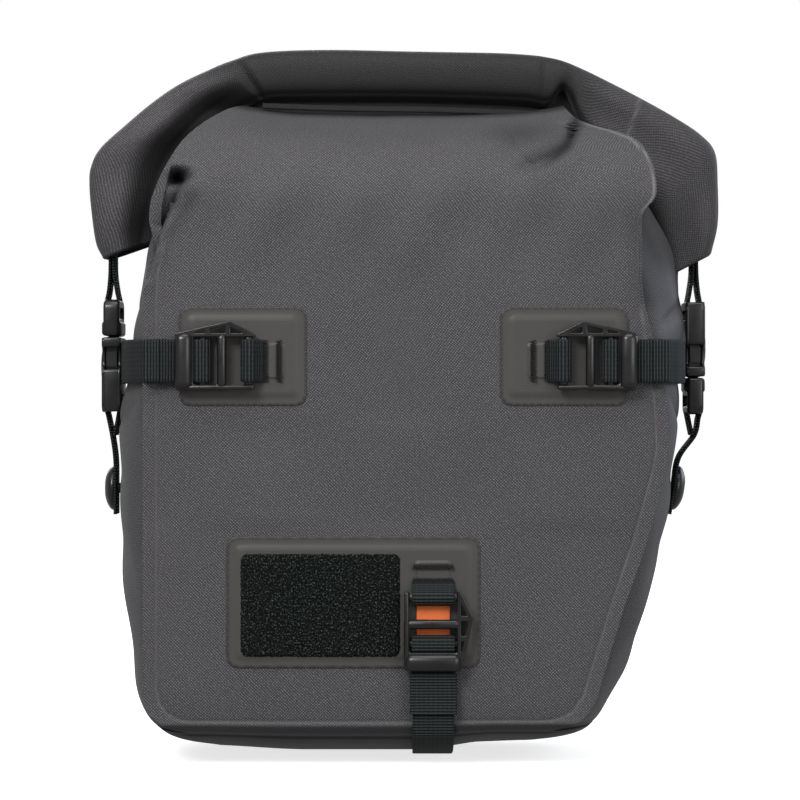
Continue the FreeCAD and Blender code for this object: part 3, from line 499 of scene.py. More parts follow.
SHELL_NYLON = WovenFabric("woven_coated_nylon", "#3f3e40", 0.62, specular=0.35, sheen=0.08, fleck="#858286")
ROLL_NYLON = WovenFabric(
    "woven_coated_nylon_rolled", "#413f41", 0.62, specular=0.3, sheen=0.06, fleck="#807d81"
)
# the roll's nylon painted near-black for the edge under the roll: painted shade
SHADED_HEM_NYLON = WovenFabric("woven_coated_nylon_hem_painted_shade", "#1a1a1b", 0.6, specular=0.2, fleck="#2c2b2d")
PATCH_FILM = WovenFabric(
    "welded_film_faced_nylon", "#4c4a48", 0.46, specular=0.35,
    fleck="#545250", shade="#403e3d", weld_line_and_painted_highlight="#2e2d2c", depth=0.05,
)
TAB_CLOTH = WovenFabric(
    "woven_satin_tab", "#ff7a35", 0.55,
    fleck="#ff9a5c", shade="#e8502a", weld_line_and_painted_highlight="#c23f22", yarn_mm=0.5, slub_mm=1.4,
)
WEBBING = WovenWebbing(
    "woven_polypropylene_webbing", "#0e1011", 0.72, specular=0.25, fleck="#3c4243", rib_mm=1.3
)
THREAD = WovenWebbing("twisted_bonded_thread", "#0c0d0d", 0.5, fleck="#3a3c3c", rib_mm=0.6, rows_mm=0.6)
LOOP_TAPE = LoopPile("knitted_loop_tape", "#0d1110", 0.9, specular=0.15)
ACETAL = MouldedPlastic("moulded_acetal", "#0b0b0c", 0.3, specular=0.55, coat=0.25, coat_roughness=0.18)
HOOK_NYLON = MouldedPlastic("moulded_glass_filled_nylon", "#141415", 0.48, grain_mm=0.8, depth=0.15)
LINER_RUBBER = MouldedPlastic("moulded_rubber", "#262627", 0.78, specular=0.3, depth=0.2)
BOARD_PLASTIC = MouldedPlastic("extruded_polypropylene_sheet", "#202021", 0.55, depth=0.1)
RAIL_METAL = DrawnMetal("anodised_drawn_aluminium", "#1c1c1e", 0.42, metallic=1.0, streak="#2b2b2e")
STEEL = DrawnMetal("turned_stainless_steel", "#a8a9ad", 0.3, metallic=1.0, streak="#c8c9cd")
FLOOR_PAINT = MouldedPlastic(
    "painted_floor", "#f6f6f6", 0.8, specular=0.1, glow=0.8, scuffed="#f8f8f8", depth=0.0
)


# ---------------------------------------------------------------- meshes


def mesh_piece(
    name: str,
    points: np.ndarray,
    faces: Sequence[Sequence[int]],
    finish: Finish,
    uv: np.ndarray | None = None,
    marks: dict[str, np.ndarray] | None = None,
    sharp: float = 45.0,
) -> bpy.types.Object:
    """Make one mesh object.

    Args:
        name: the piece's name.
        points: one row of X, Y, Z in millimetres for each point.
        faces: the corners of each face.
        finish: what it is made of.
        uv: one row of two millimetre coordinates for each point.
        marks: named numbers, one for each point.
        sharp: edges that turn more than this many degrees stay crisp.

    Returns:
        The object.
    """
    mesh = bpy.data.meshes.new(name)
    mesh.from_pydata((np.asarray(points, float) * MM).tolist(), [], [list(map(int, face)) for face in faces])
    layer = mesh.uv_layers.new(name=UV_NAME)
    corner = np.zeros(len(mesh.loops), np.int32)
    mesh.loops.foreach_get("vertex_index", corner)
    flat = np.asarray(points, float)[:, [0, 2]] if uv is None else np.asarray(uv, float)
    layer.data.foreach_set("uv", flat[corner].astype(np.float32).ravel())
    for key, values in (marks or {}).items():
        attribute = mesh.attributes.new(key, "FLOAT", "POINT")
        attribute.data.foreach_set("value", np.asarray(values, np.float32).ravel())
    mesh.polygons.foreach_set("use_smooth", np.ones(len(mesh.polygons), bool))
    mesh.set_sharp_from_angle(angle=math.radians(sharp))
    mesh.materials.append(finish.material())
    mesh.update()
    made = bpy.data.objects.new(name, mesh)
    bpy.context.scene.collection.objects.link(made)
    return made


def grid_faces(rows: int, columns: int, wrap: bool = False) -> list[tuple[int, int, int, int]]:
    """The quads of a grid of points, row by row; wrap joins the last column to the first."""
    across = columns if wrap else columns - 1
    faces = []
    for row in range(rows - 1):
        for column in range(across):
            beside = (column + 1) % columns
            low, high = row * columns, (row + 1) * columns
            faces.append((low + column, low + beside, high + beside, high + column))
    return faces


def ribbon(
    name: str,
    path: np.ndarray,
    across: Sequence[float],
    width: float,
    thickness: float,
    finish: Finish,
) -> bpy.types.Object:
    """Lay a flat strap along a path, with soft edges and closed ends.

    Args:
        name: the piece's name.
        path: the points of its middle line.
        across: the direction of its width.
        width: its width.
        thickness: its thickness.
        finish: what it is made of.

    Returns:
        The strap.
    """
    path = np.asarray(path, float)
    side = np.array(across, float)
    tangent = np.gradient(path, axis=0)
    tangent /= np.linalg.norm(tangent, axis=1)[:, None]
    normal = np.cross(tangent, side)
    normal /= np.linalg.norm(normal, axis=1)[:, None]
    half, deep = width / 2, thickness / 2
    soft = min(deep, 0.8)
    section = []
    for share in np.linspace(-1, 1, 9):
        section.append((share * (half - soft), deep))
    section += [(half - soft * 0.3, deep * 0.7), (half, 0.0), (half - soft * 0.3, -deep * 0.7)]
    for share in np.linspace(1, -1, 9):
        section.append((share * (half - soft), -deep))
    section += [(-half + soft * 0.3, -deep * 0.7), (-half, 0.0), (-half + soft * 0.3, deep * 0.7)]
    ring = np.array(section)
    points = path[:, None, :] + ring[None, :, :1] * side + ring[None, :, 1:] * normal[:, None, :]
    length = np.concatenate([[0], np.cumsum(np.linalg.norm(np.diff(path, axis=0), axis=1))])
    uv = np.stack(np.broadcast_arrays(ring[None, :, 0], length[:, None]), axis=-1)
    count = len(ring)
    faces: list[Sequence[int]] = list(grid_faces(len(path), count, wrap=True))
    faces.append(range(count - 1, -1, -1))
    faces.append(range((len(path) - 1) * count, len(path) * count))
    return mesh_piece(name, points.reshape(-1, 3), faces, finish, uv.reshape(-1, 2), sharp=60)


def tube(name: str, path: np.ndarray, radius: float, finish: Finish, sides: int = 6) -> bpy.types.Object:
    """Run a round thread or rod along a path.

    Args:
        name: the piece's name.
        path: the points of its middle line.
        radius: its radius.
        finish: what it is made of.
        sides: how many faces go round it.

    Returns:
        The tube.
    """
    path = np.asarray(path, float)
    tangent = np.gradient(path, axis=0)
    tangent /= np.linalg.norm(tangent, axis=1)[:, None] + 1e-9
    helper = np.where(np.abs(tangent[:, 1:2]) < 0.9, [[0.0, 1.0, 0.0]], [[1.0, 0.0, 0.0]])
    first = np.cross(tangent, helper)
    first /= np.linalg.norm(first, axis=1)[:, None]
    second = np.cross(tangent, first)
    angle = np.linspace(0, math.tau, sides, endpoint=False)
    ring = first[:, None] * np.cos(angle)[None, :, None] + second[:, None] * np.sin(angle)[None, :, None]
    points = path[:, None] + ring * radius
    faces: list[Sequence[int]] = list(grid_faces(len(path), sides, wrap=True))
    faces.append(range(sides - 1, -1, -1))
    faces.append(range((len(path) - 1) * sides, len(path) * sides))
    length = np.concatenate([[0], np.cumsum(np.linalg.norm(np.diff(path, axis=0), axis=1))])
    uv = np.stack(np.broadcast_arrays(angle[None] * radius, length[:, None]), axis=-1)
    return mesh_piece(name, points.reshape(-1, 3), faces, finish, uv.reshape(-1, 2))


def block(
    name: str,
    centre: Sequence[float],
    size: Sequence[float],
    radius: float,
    finish: Finish,
    turn: Matrix | None = None,
) -> bpy.types.Object:
    """Make a moulded block with rounded edges.

    Args:
        name: the piece's name.
        centre: its middle.
        size: its three sizes.
        radius: the edges' rounding.
        finish: what it is made of.
        turn: a rotation about its middle.

    Returns:
        The block.
    """
    shape = bmesh.new()
    bmesh.ops.create_cube(shape, size=1.0)
    bmesh.ops.scale(shape, vec=Vector(size), verts=shape.verts)
    bmesh.ops.bevel(
        shape, geom=shape.edges[:], offset=radius, segments=4, profile=0.5, affect="EDGES",
        clamp_overlap=True,
    )
    if turn is not None:
        bmesh.ops.rotate(shape, cent=(0, 0, 0), matrix=turn, verts=shape.verts)
    bmesh.ops.translate(shape, vec=Vector(centre), verts=shape.verts)
    shape.verts.ensure_lookup_table()
    points = np.array([vertex.co for vertex in shape.verts])
    faces = [[vertex.index for vertex in face.verts] for face in shape.faces]
    shape.free()
    return mesh_piece(name, points, faces, finish, sharp=50)


def plate(
    name: str,
    outline: Sequence[Point],
    holes: Sequence[Sequence[Point]],
    thickness: float,
    bevel: float,
    place: Matrix,
    finish: Finish,
) -> bpy.types.Object:
    """Make a moulded plate with bevelled edges and holes.

    Args:
        name: the piece's name.
        outline: its outer corners.
        holes: the corners of each hole.
        thickness: its thickness, centred on its plane.
        bevel: the edges' rounding.
        place: turns the outline's plane into the part's frame, in millimetres.
        finish: what it is made of.

    Returns:
        The plate.
    """
    curve = bpy.data.curves.new(name, "CURVE")
    curve.dimensions = "2D"
    curve.fill_mode = "BOTH"
    curve.extrude = thickness / 2 - bevel
    curve.bevel_depth = bevel
    curve.bevel_resolution = 3
    curve.offset = -bevel
    for loop in (outline, *holes):
        spline = curve.splines.new("POLY")
        spline.points.add(len(loop) - 1)
        for point, (across, up) in zip(spline.points, loop):
            point.co = (across, up, 0, 1)
        spline.use_cyclic_u = True
    maker = bpy.data.objects.new(name, curve)
    flat = bpy.data.meshes.new_from_object(maker)
    flat.transform(place)
    points = np.array([vertex.co for vertex in flat.vertices])
    faces = [list(polygon.vertices) for polygon in flat.polygons]
    bpy.data.objects.remove(maker)
    bpy.data.curves.remove(curve)
    bpy.data.meshes.remove(flat)
    return mesh_piece(name, points, faces, finish, sharp=40)


def turned(
    name: str, profile: Sequence[Point], place: Matrix, finish: Finish, sides: int = 48
) -> bpy.types.Object:
    """Turn a profile of (along, radius) pairs about its axis.

    Args:
        name: the piece's name.
        profile: the pairs, from one end to the other.
        place: turns the axis, drawn along +Z, into the part's frame, in millimetres.
        finish: what it is made of.
        sides: how many faces go round it.

    Returns:
        The turned piece.
    """
    angle = np.linspace(0, math.tau, sides, endpoint=False)
    along, radius = np.array(profile, float).T
    points = np.stack(
        [
            radius[:, None] * np.cos(angle)[None],
            radius[:, None] * np.sin(angle)[None],
            np.repeat(along[:, None], sides, axis=1),
        ],
        axis=-1,
    ).reshape(-1, 3)
    moved = np.array([place @ Vector(point) for point in points])
    faces: list[Sequence[int]] = list(grid_faces(len(profile), sides, wrap=True))
    faces.append(range(sides - 1, -1, -1))
    faces.append(range((len(profile) - 1) * sides, len(profile) * sides))
    return mesh_piece(name, moved, faces, finish, sharp=40)


def merge(name: str, pieces: Sequence[bpy.types.Object]) -> bpy.types.Object:
    """Join pieces of one finish into one object.

    Args:
        name: the joined piece's name.
        pieces: the pieces, which are used up.

    Returns:
        The joined piece.
    """
    whole = bmesh.new()
    for piece in pieces:
        whole.from_mesh(piece.data)
    mesh = bpy.data.meshes.new(name)
    whole.to_mesh(mesh)
    whole.free()
    mesh.materials.append(pieces[0].data.materials[0])
    for piece in pieces:
        bpy.data.objects.remove(piece)
    made = bpy.data.objects.new(name, mesh)
    bpy.context.scene.collection.objects.link(made)
    return made


def settle(piece: bpy.types.Object, body: str, slot: str, *nodes: str) -> bpy.types.Object:
    """Fix a piece to its body and hide the assembly's nodes it stands for.

    Args:
        piece: the finished piece.
        body: the body it moves with.
        slot: the record's material slot; not used.
        nodes: the assembly's nodes it stands for.

    Returns:
        The same piece.
    """
    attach(piece, body)
    if nodes:
        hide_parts(*nodes)
    LOG.info("%s rides on %s", piece.name, body)
    return piece


# ---------------------------------------------------------------- shell


@dataclass
class BagShell:
    """The welded bag: front and back panels, bulging gussets, rounded base and gathered mouth."""

    flange: float = 6.0
    flange_foot: float = 14.0
    flange_thickness: float = 2.4
    # how far the base draws in below the flange, at the left and at the right
    foot_inset: tuple[float, float] = (13.0, 11.0)
    # the small hollow where the left pleat gathers
    hollow: Point = (-103.5, 268.5)
    # how many columns of points each panel has, besides those near the front welds
    front_count: int = 116
    side_count: int = 72
    back_count: int = 60

    # outer edge of the front weld flange, as (level, X)
    left_edge: tuple[Point, ...] = (
        (14, -98), (15.5, -105), (18.5, -110.5), (24, -115.5), (30, -118), (36, -118.6), (205, -118.6),
        (213, -118.4), (225, -116.6), (235, -114.2), (243, -114.6), (248, -115.8), (256, -115.3),
        (266, -112), (276, -107.2), (287.5, -100), (296.6, -90.5), (303, -81), (306, -75),
    )
    right_edge: tuple[Point, ...] = (
        (14, 67), (16, 74), (19.5, 80), (24, 84), (30, 87.5), (43, 91.5), (71, 100), (100, 110),
        (133, 118.5), (145, 120.5), (166, 119.5), (185, 116), (204, 111.2), (213, 109.4), (222, 108.6),
        (250, 108.4), (254, 110.5), (258, 114), (262, 115.2), (267, 115), (279, 111.8), (287, 105.6),
        (291.3, 96), (296, 82), (300, 78), (306, 75),
    )
    # how far the gussets stand out at the bag's mid-depth
    left_bulge: tuple[Point, ...] = (
        (0, -90), (3.5, -98), (6, -107), (13, -116), (27, -124), (45, -127.3), (68, -130.1),
        (93, -131.8), (139, -134.5), (174, -131), (205, -126.5), (228, -123), (245, -118), (262, -107),
        (285, -86), (306, -68),
    )
    right_bulge: tuple[Point, ...] = (
        (0, 66), (4.3, 78), (8, 85), (16, 91), (27, 96.7), (42, 104.8), (57, 111.1), (71, 115.2),
        (88, 118.6), (115, 123.9), (143.5, 127.9), (163, 130.1), (196, 131.5), (226, 132), (245, 127),
        (262, 112), (285, 88), (306, 68),
    )
    front_depth: tuple[Point, ...] = (
        (0, 0), (1.2, -12), (3, -26), (5, -40), (7.2, -52), (9.5, -61.5), (12, -68.5), (13.9, -72.4),
        (14.0, -74.3), (20, -74.5), (250, -74.5), (262, -73.8), (272, -70.8), (282, -64.5), (291, -54.5),
        (298, -43.5), (303, -33), (306, -24),
    )
    back_depth: tuple[Point, ...] = (
        (0, 30), (1.2, 37), (4, 44), (9, 50.5), (15, 54), (22, 55.3), (30, 55.5), (252, 55.5), (264, 53),
        (280, 42), (294, 25), (302, 12), (306, 5),
    )
    weld_line: tuple[Point, ...] = (
        (-108.6, 240), (-110.2, 232), (-112, 223), (-112.6, 213), (-112.6, 35), (-111.4, 29), (-108, 24),
        (-103, 21), (-97.6, 20), (66.6, 20), (71.5, 21.4), (76.6, 24.5), (82, 32.2), (85.5, 44.3),
        (94.3, 73), (104.2, 101.6), (113, 133.6), (115.2, 144.6), (114, 166.6), (108.6, 204),
        (107.6, 222), (107.4, 249), (109.2, 254), (112.8, 258), (114, 262), (113.8, 267), (110.8, 279),
        (104.9, 286.2), (95.6, 290.4), (84, 294.4),
    )
    pleat: tuple[Point, ...] = (
        (-99, 269), (-102.5, 260.7), (-106.6, 253.4), (-109.8, 247), (-111.6, 243), (-114, 234),
        (-117.5, 222),
    )
    right_fold: tuple[Point, ...] = ((80, 296), (78, 290), (74.5, 283), (68, 277.5), (60, 273.5), (50, 271))
    right_tuck: tuple[Point, ...] = ((47, 290), (50, 282), (56, 275), (62, 272.5))

    def levels(self) -> np.ndarray:
        """The heights of the shell's rings, closer at the welds and the folds."""
        spans = ((0, 4, 0.5), (4, 13.9, 0.9), (14.0, 38, 0.7), (38, 205, 1.9), (205, 306, 1.15))
        rows = [np.arange(low, high, gap) for low, high, gap in spans]
        return np.concatenate([*rows[:2], [13.9], *rows[2:], [306.0]])

    def front_columns(self) -> np.ndarray:
        """Distances from a flange's edge where the front panel has a column of points."""
        near_weld = [4.8, 5.3, 5.7, 6.0, 6.3, 6.7, 7.4]
        return np.array([0, 0.4, 1.2, 2.4, 3.8, *near_weld, 8.6, 10.4, 12.6, 15, 17.5, 20])

    def gusset(self, z: np.ndarray, root: np.ndarray, middle: np.ndarray, share: np.ndarray) -> np.ndarray:
        """Where a gusset stands, between its two welds.

        Args:
            z: the ring heights, as a column.
            root: the weld's X at each height, as a column.
            middle: the X at mid-depth, as a column.
            share: from 0 at the front weld to 1 at the back one, as a row.

        Returns:
            X for every height and share.
        """
        away = np.abs(2 * share - 1)
        full = (1 - away**1.9) ** (1 / 1.9)
        pinched = (1 - away**1.5) ** 2
        fold = step(200, 258, z)
        shape = full * (1 - fold) + pinched * fold
        tied = 2.2 * np.exp(-(((z - STRAP_LEVEL) / 13) ** 2)) * full
        return root + (middle - root) * shape - np.sign(middle) * tied

    def front_relief(self, x: np.ndarray, z: np.ndarray) -> np.ndarray:
        """How far the front panel's folds push it back, in millimetres.

        Args:
            x: the points' X.
            z: the points' heights.

        Returns:
            The set-back of each point, negative where it stands proud.
        """
        away, side, share = to_line(x, z, self.pleat)
        ends = step(0, 0.06, share) * (1 - step(0.8, 1.0, share) * 0.7)
        steep = np.where(side < 0, np.exp(-away / 8.0), np.exp(-((away / 0.9) ** 2)))
        near = np.where(share <= 0.001, np.exp(-((away / 3.0) ** 2)), 1.0)
        back = 7.0 * steep * np.maximum(ends, 0.2) * near
        back -= np.where(side > 0, 2.2 * np.exp(-(((away - 3.2) / 3.4) ** 2)) * ends * near, 0)
        hole = np.hypot((x - self.hollow[0]) / 5.0, (z - self.hollow[1]) / 3.6)
        back += 11.0 * np.exp(-(hole**3))
        lip = np.hypot((x + 100.5) / 8.0, (z - 262.0) / 5.2)
        back -= 2.0 * np.exp(-(lip**2))
        for line, depth, width in ((self.right_fold, 6.5, 2.2), (self.right_tuck, 2.2, 1.6)):
            away, side, share = to_line(x, z, line)
            ends = step(0.0, 0.12, share) * (1 - step(0.72, 1.0, share))
            wide = np.where(side > 0, width, width * 3.2)
            back += depth * np.exp(-((away / wide) ** 1.4)) * ends
        bulge = np.hypot((x - 65) / 12, (z - 285) / 10)
        back -= 3.2 * np.exp(-(bulge**2))
        upper = step(212, 252, z)
        back += upper * 0.9 * np.sin(x * 0.068 + z * 0.045 + 0.8) * np.cos(x * 0.021 - 0.6)
        back += upper * 0.5 * np.sin(x * 0.17 - z * 0.09)
        middle = step(104, 114, z) * (1 - step(150, 162, z))
        back += middle * 0.7 * np.sin(x * 0.045 + 1.3) * np.cos((z - 110) * 0.05)
        return back

    def marks(self, x: np.ndarray, z: np.ndarray, away: np.ndarray) -> np.ndarray:
        """How strongly the pale weld line, a painted highlight along the weld's folded edge, shows at each
        front point: full on the right shoulder, half elsewhere, and none high on the left.
        """
        fade = 1 - step(228, 240, z) * (x < 0)
        shoulder = 0.5 + 0.5 * (x > 0) * step(235, 250, z)
        return np.exp(-((away / 0.45) ** 2)) * fade * shoulder

    def build(self) -> bpy.types.Object:
        """Make the shell's skin.

        Returns:
            The shell.
        """
        z = self.levels()[:, None]
        low = np.maximum(z, self.flange_foot)
        left, right = through(low, self.left_edge), through(low, self.right_edge)
        under = 1 - step(0, self.flange_foot, z)
        left, right = left + self.foot_inset[0] * under, right - self.foot_inset[1] * under
        front, back = through(z, self.front_depth), through(z, self.back_depth)
        near = self.front_columns()
        span = np.linspace(0, 1, self.front_count + 2)[1:-1]
        inner_left, inner_right = left + near[-1], right - near[-1]
        inner = inner_left + (inner_right - inner_left) * span
        x_front = np.hstack([left + near, inner, right - near[::-1]])
        share = 0.5 - 0.5 * np.cos(np.linspace(0, math.pi, self.side_count))[None]
        has_flange = step(self.flange_foot - 0.05, self.flange_foot, z) * (1 - step(255, 290, z))
        tuck = (self.flange - 0.6) * has_flange
        thick = self.flange_thickness * has_flange
        y_side = (front + thick) + (back - front - thick) * share
        x_right = self.gusset(z, right - tuck * (1 - share), through(z, self.right_bulge), share)
        x_left = self.gusset(z, left + tuck * (1 - share), through(z, self.left_bulge), share)
        x_back = right + (left - right) * np.linspace(0, 1, self.back_count)[None]
        tip_right, tip_left = right - 0.1, left + 0.1
        tip_y = front + thick / 2
        x = np.hstack([x_front, tip_right, x_right, x_back, x_left[:, ::-1], tip_left, left])
        y_front = np.repeat(front, x_front.shape[1], axis=1)
        level = np.repeat(z, x_front.shape[1], axis=1)
        away, _, _ = to_line(x_front, level, self.weld_line)
        soft = 1.3 * np.exp(-away / 7) * step(self.flange_foot - 1, self.flange_foot + 1, z)
        relief = self.front_relief(x_front, level) * step(60, 100, z)
        y_front = y_front + soft * (1 - step(240, 262, z)) + relief + 0.5 * np.exp(-((away / 0.5) ** 2))
        y_back = np.repeat(back, self.back_count, axis=1)
        y = np.hstack([y_front, tip_y, y_side, y_back, y_side[:, ::-1], tip_y, y_front[:, :1]])
        level = np.repeat(z, x.shape[1], axis=1)
        weld_line_and_painted_highlight = np.zeros(x.shape)
        weld_line_and_painted_highlight[:, : x_front.shape[1]] = self.marks(x_front, level[:, : x_front.shape[1]], away)
        sag = 5.0 * (1 - np.clip(np.abs(x) / 80, 0, 1) ** 4) * step(280, 305, level)
        lift = (4.4 * step(5, 45, x) + 2.2 * step(-45, -95, -np.abs(x)) * (x < 0)) * (1 - step(0, 26, level))
        height = level + lift - sag
        folds = np.zeros(x.shape)
        first = x_front.shape[1] + 1
        folds[:, first : first + self.side_count] = self.side_folds(y_side, z, Side.RIGHT)
        first += self.side_count + self.back_count
        folds[:, first : first + self.side_count] = self.side_folds(y_side, z, Side.LEFT)[:, ::-1]
        x = x + folds
        points = np.stack([x, y, height], axis=-1)
        rows, columns = x.shape
        strides = np.linalg.norm(np.diff(points, axis=1), axis=2)
        along = np.hstack([np.zeros((rows, 1)), np.cumsum(strides, axis=1)])
        along -= along[:, x_front.shape[1] // 2][:, None]
        mid = points[:, x_front.shape[1] // 2]
        climb = np.concatenate([[0], np.cumsum(np.linalg.norm(np.diff(mid, axis=0), axis=1))])
        uv = np.stack([along, np.repeat(climb[:, None], columns, axis=1)], axis=-1)
        faces: list[Sequence[int]] = list(grid_faces(rows, columns))
        # painted shade in the folds, hollows and under the roll, and darker below the bottom weld
        painted_shade_and_dark_coat = self.painted_shade(x, y, level)
        flat = points.reshape(-1, 3)
        floor_ring = points[0, :-1]
        centre = floor_ring.mean(axis=0)
        extra = []
        base = len(flat)
        previous = list(range(columns - 1))
        for index, shrink in enumerate((0.85, 0.6, 0.3)):
            ring = centre + (floor_ring - centre) * shrink
            ring[:, 2] = floor_ring[:, 2] * shrink + 0.6 * (1 - shrink)
            extra.append(ring)
            current = [base + index * (columns - 1) + k for k in range(columns - 1)]
            for k in range(columns - 2):
                faces.append((previous[k + 1], previous[k], current[k], current[k + 1]))
            previous = current
        faces.append(previous[::-1])
        flat = np.vstack([flat, *extra])
        uv = np.vstack([uv.reshape(-1, 2), np.vstack(extra)[:, :2]])
        rest = len(flat) - weld_line_and_painted_highlight.size
        marks = {
            "weld_line_and_painted_highlight": np.concatenate([weld_line_and_painted_highlight.ravel(), np.zeros(rest)]),
            # the base's inner rings are darker too
            "painted_shade_and_dark_coat": np.concatenate([painted_shade_and_dark_coat.ravel(), np.full(rest, 0.8)]),
        }
        return mesh_piece("bag_shell", flat, faces, SHELL_NYLON, uv, marks, sharp=55)

    def painted_shade(self, x: np.ndarray, y: np.ndarray, z: np.ndarray) -> np.ndarray:
        """How dark the fabric is painted: darker below the bottom weld, and painted shade at the mouth under
        the roll, in a recess beside the right weld and in the depths and hollows of its folds.

        Args:
            x: the points' X.
            y: the points' Y.
            z: the points' heights.

        Returns:
            How much painted shade each point gets, from 0 to 1.
        """
        # darker below the bottom weld
        under = 0.98 * (1 - step(17.3, 19.4, z))
        facing = y < -56
        # painted shade in the left pleat's crease and in the hollow where it gathers
        away, side, share = to_line(x, z, self.pleat)
        tuck = 0.85 * np.exp(-away / 2.2) * (side < 0) * (1 - step(0.75, 1.0, share)) * facing
        from_hollow = np.hypot((x - self.hollow[0]) / 4.6, (z - self.hollow[1]) / 3.4)
        hole = 0.97 * np.exp(-(from_hollow**4)) * facing
        facing = y < -38
        # painted shade in the right fold's crease and its lobe
        away, side, share = to_line(x, z, self.right_fold)
        fold = 0.97 * np.exp(-((away / 2.6) ** 2)) * (1 - step(0.45, 0.85, share)) * facing
        lobe = 0.45 * np.exp(-(np.hypot((x - 54) / 15, (z - 291) / 7.5) ** 2)) * facing
        # painted shade at the mouth, under the roll
        mouth = 0.9 * step(302, 305.5, z)
        # painted shade in a recess beside the right weld
        height = step(204, 214, z) * (1 - step(252, 262, z))
        recess = 0.55 * height * (x > 100) * step(-74.4, -72, y) * (1 - step(-50, -35, y))
        return np.maximum.reduce([under, tuck, hole, fold, lobe, mouth, recess])

    def side_folds(self, y: np.ndarray, z: np.ndarray, side: Side) -> np.ndarray:
        """Soft drapes and the strap's tension folds in a gusset.

        Args:
            y: the gusset's depths.
            z: the ring heights, as a column.
            side: which gusset.

        Returns:
            How far each point moves along X.
        """
        sign = side.value
        wave = 1.1 * np.sin(z * 0.075 + y * 0.03 * sign + 0.5) * np.cos(y * 0.045 + 0.4)
        wave += 0.7 * np.sin(z * 0.16 - y * 0.06) * np.exp(-(((y - MIDDLE) / 46) ** 2))
        fan = np.zeros(np.broadcast(y, z).shape)
        for up in (-1, 1):
            line = np.abs((z - STRAP_LEVEL) * up - 15 - (y + 70) * 0.28)
            fan += 1.6 * np.exp(-((line / 3.2) ** 2)) * step(-74, -60, y) * (1 - step(-40, 0, y))
        keep = step(20, 50, z) * (1 - step(225, 262, z))
        clear = step(FRONT + 2, FRONT + 22, y) * (1 - step(BACK - 22, BACK - 2, y))
        return sign * (wave * keep - fan * keep) * clear


# ---------------------------------------------------------------- rolled closure


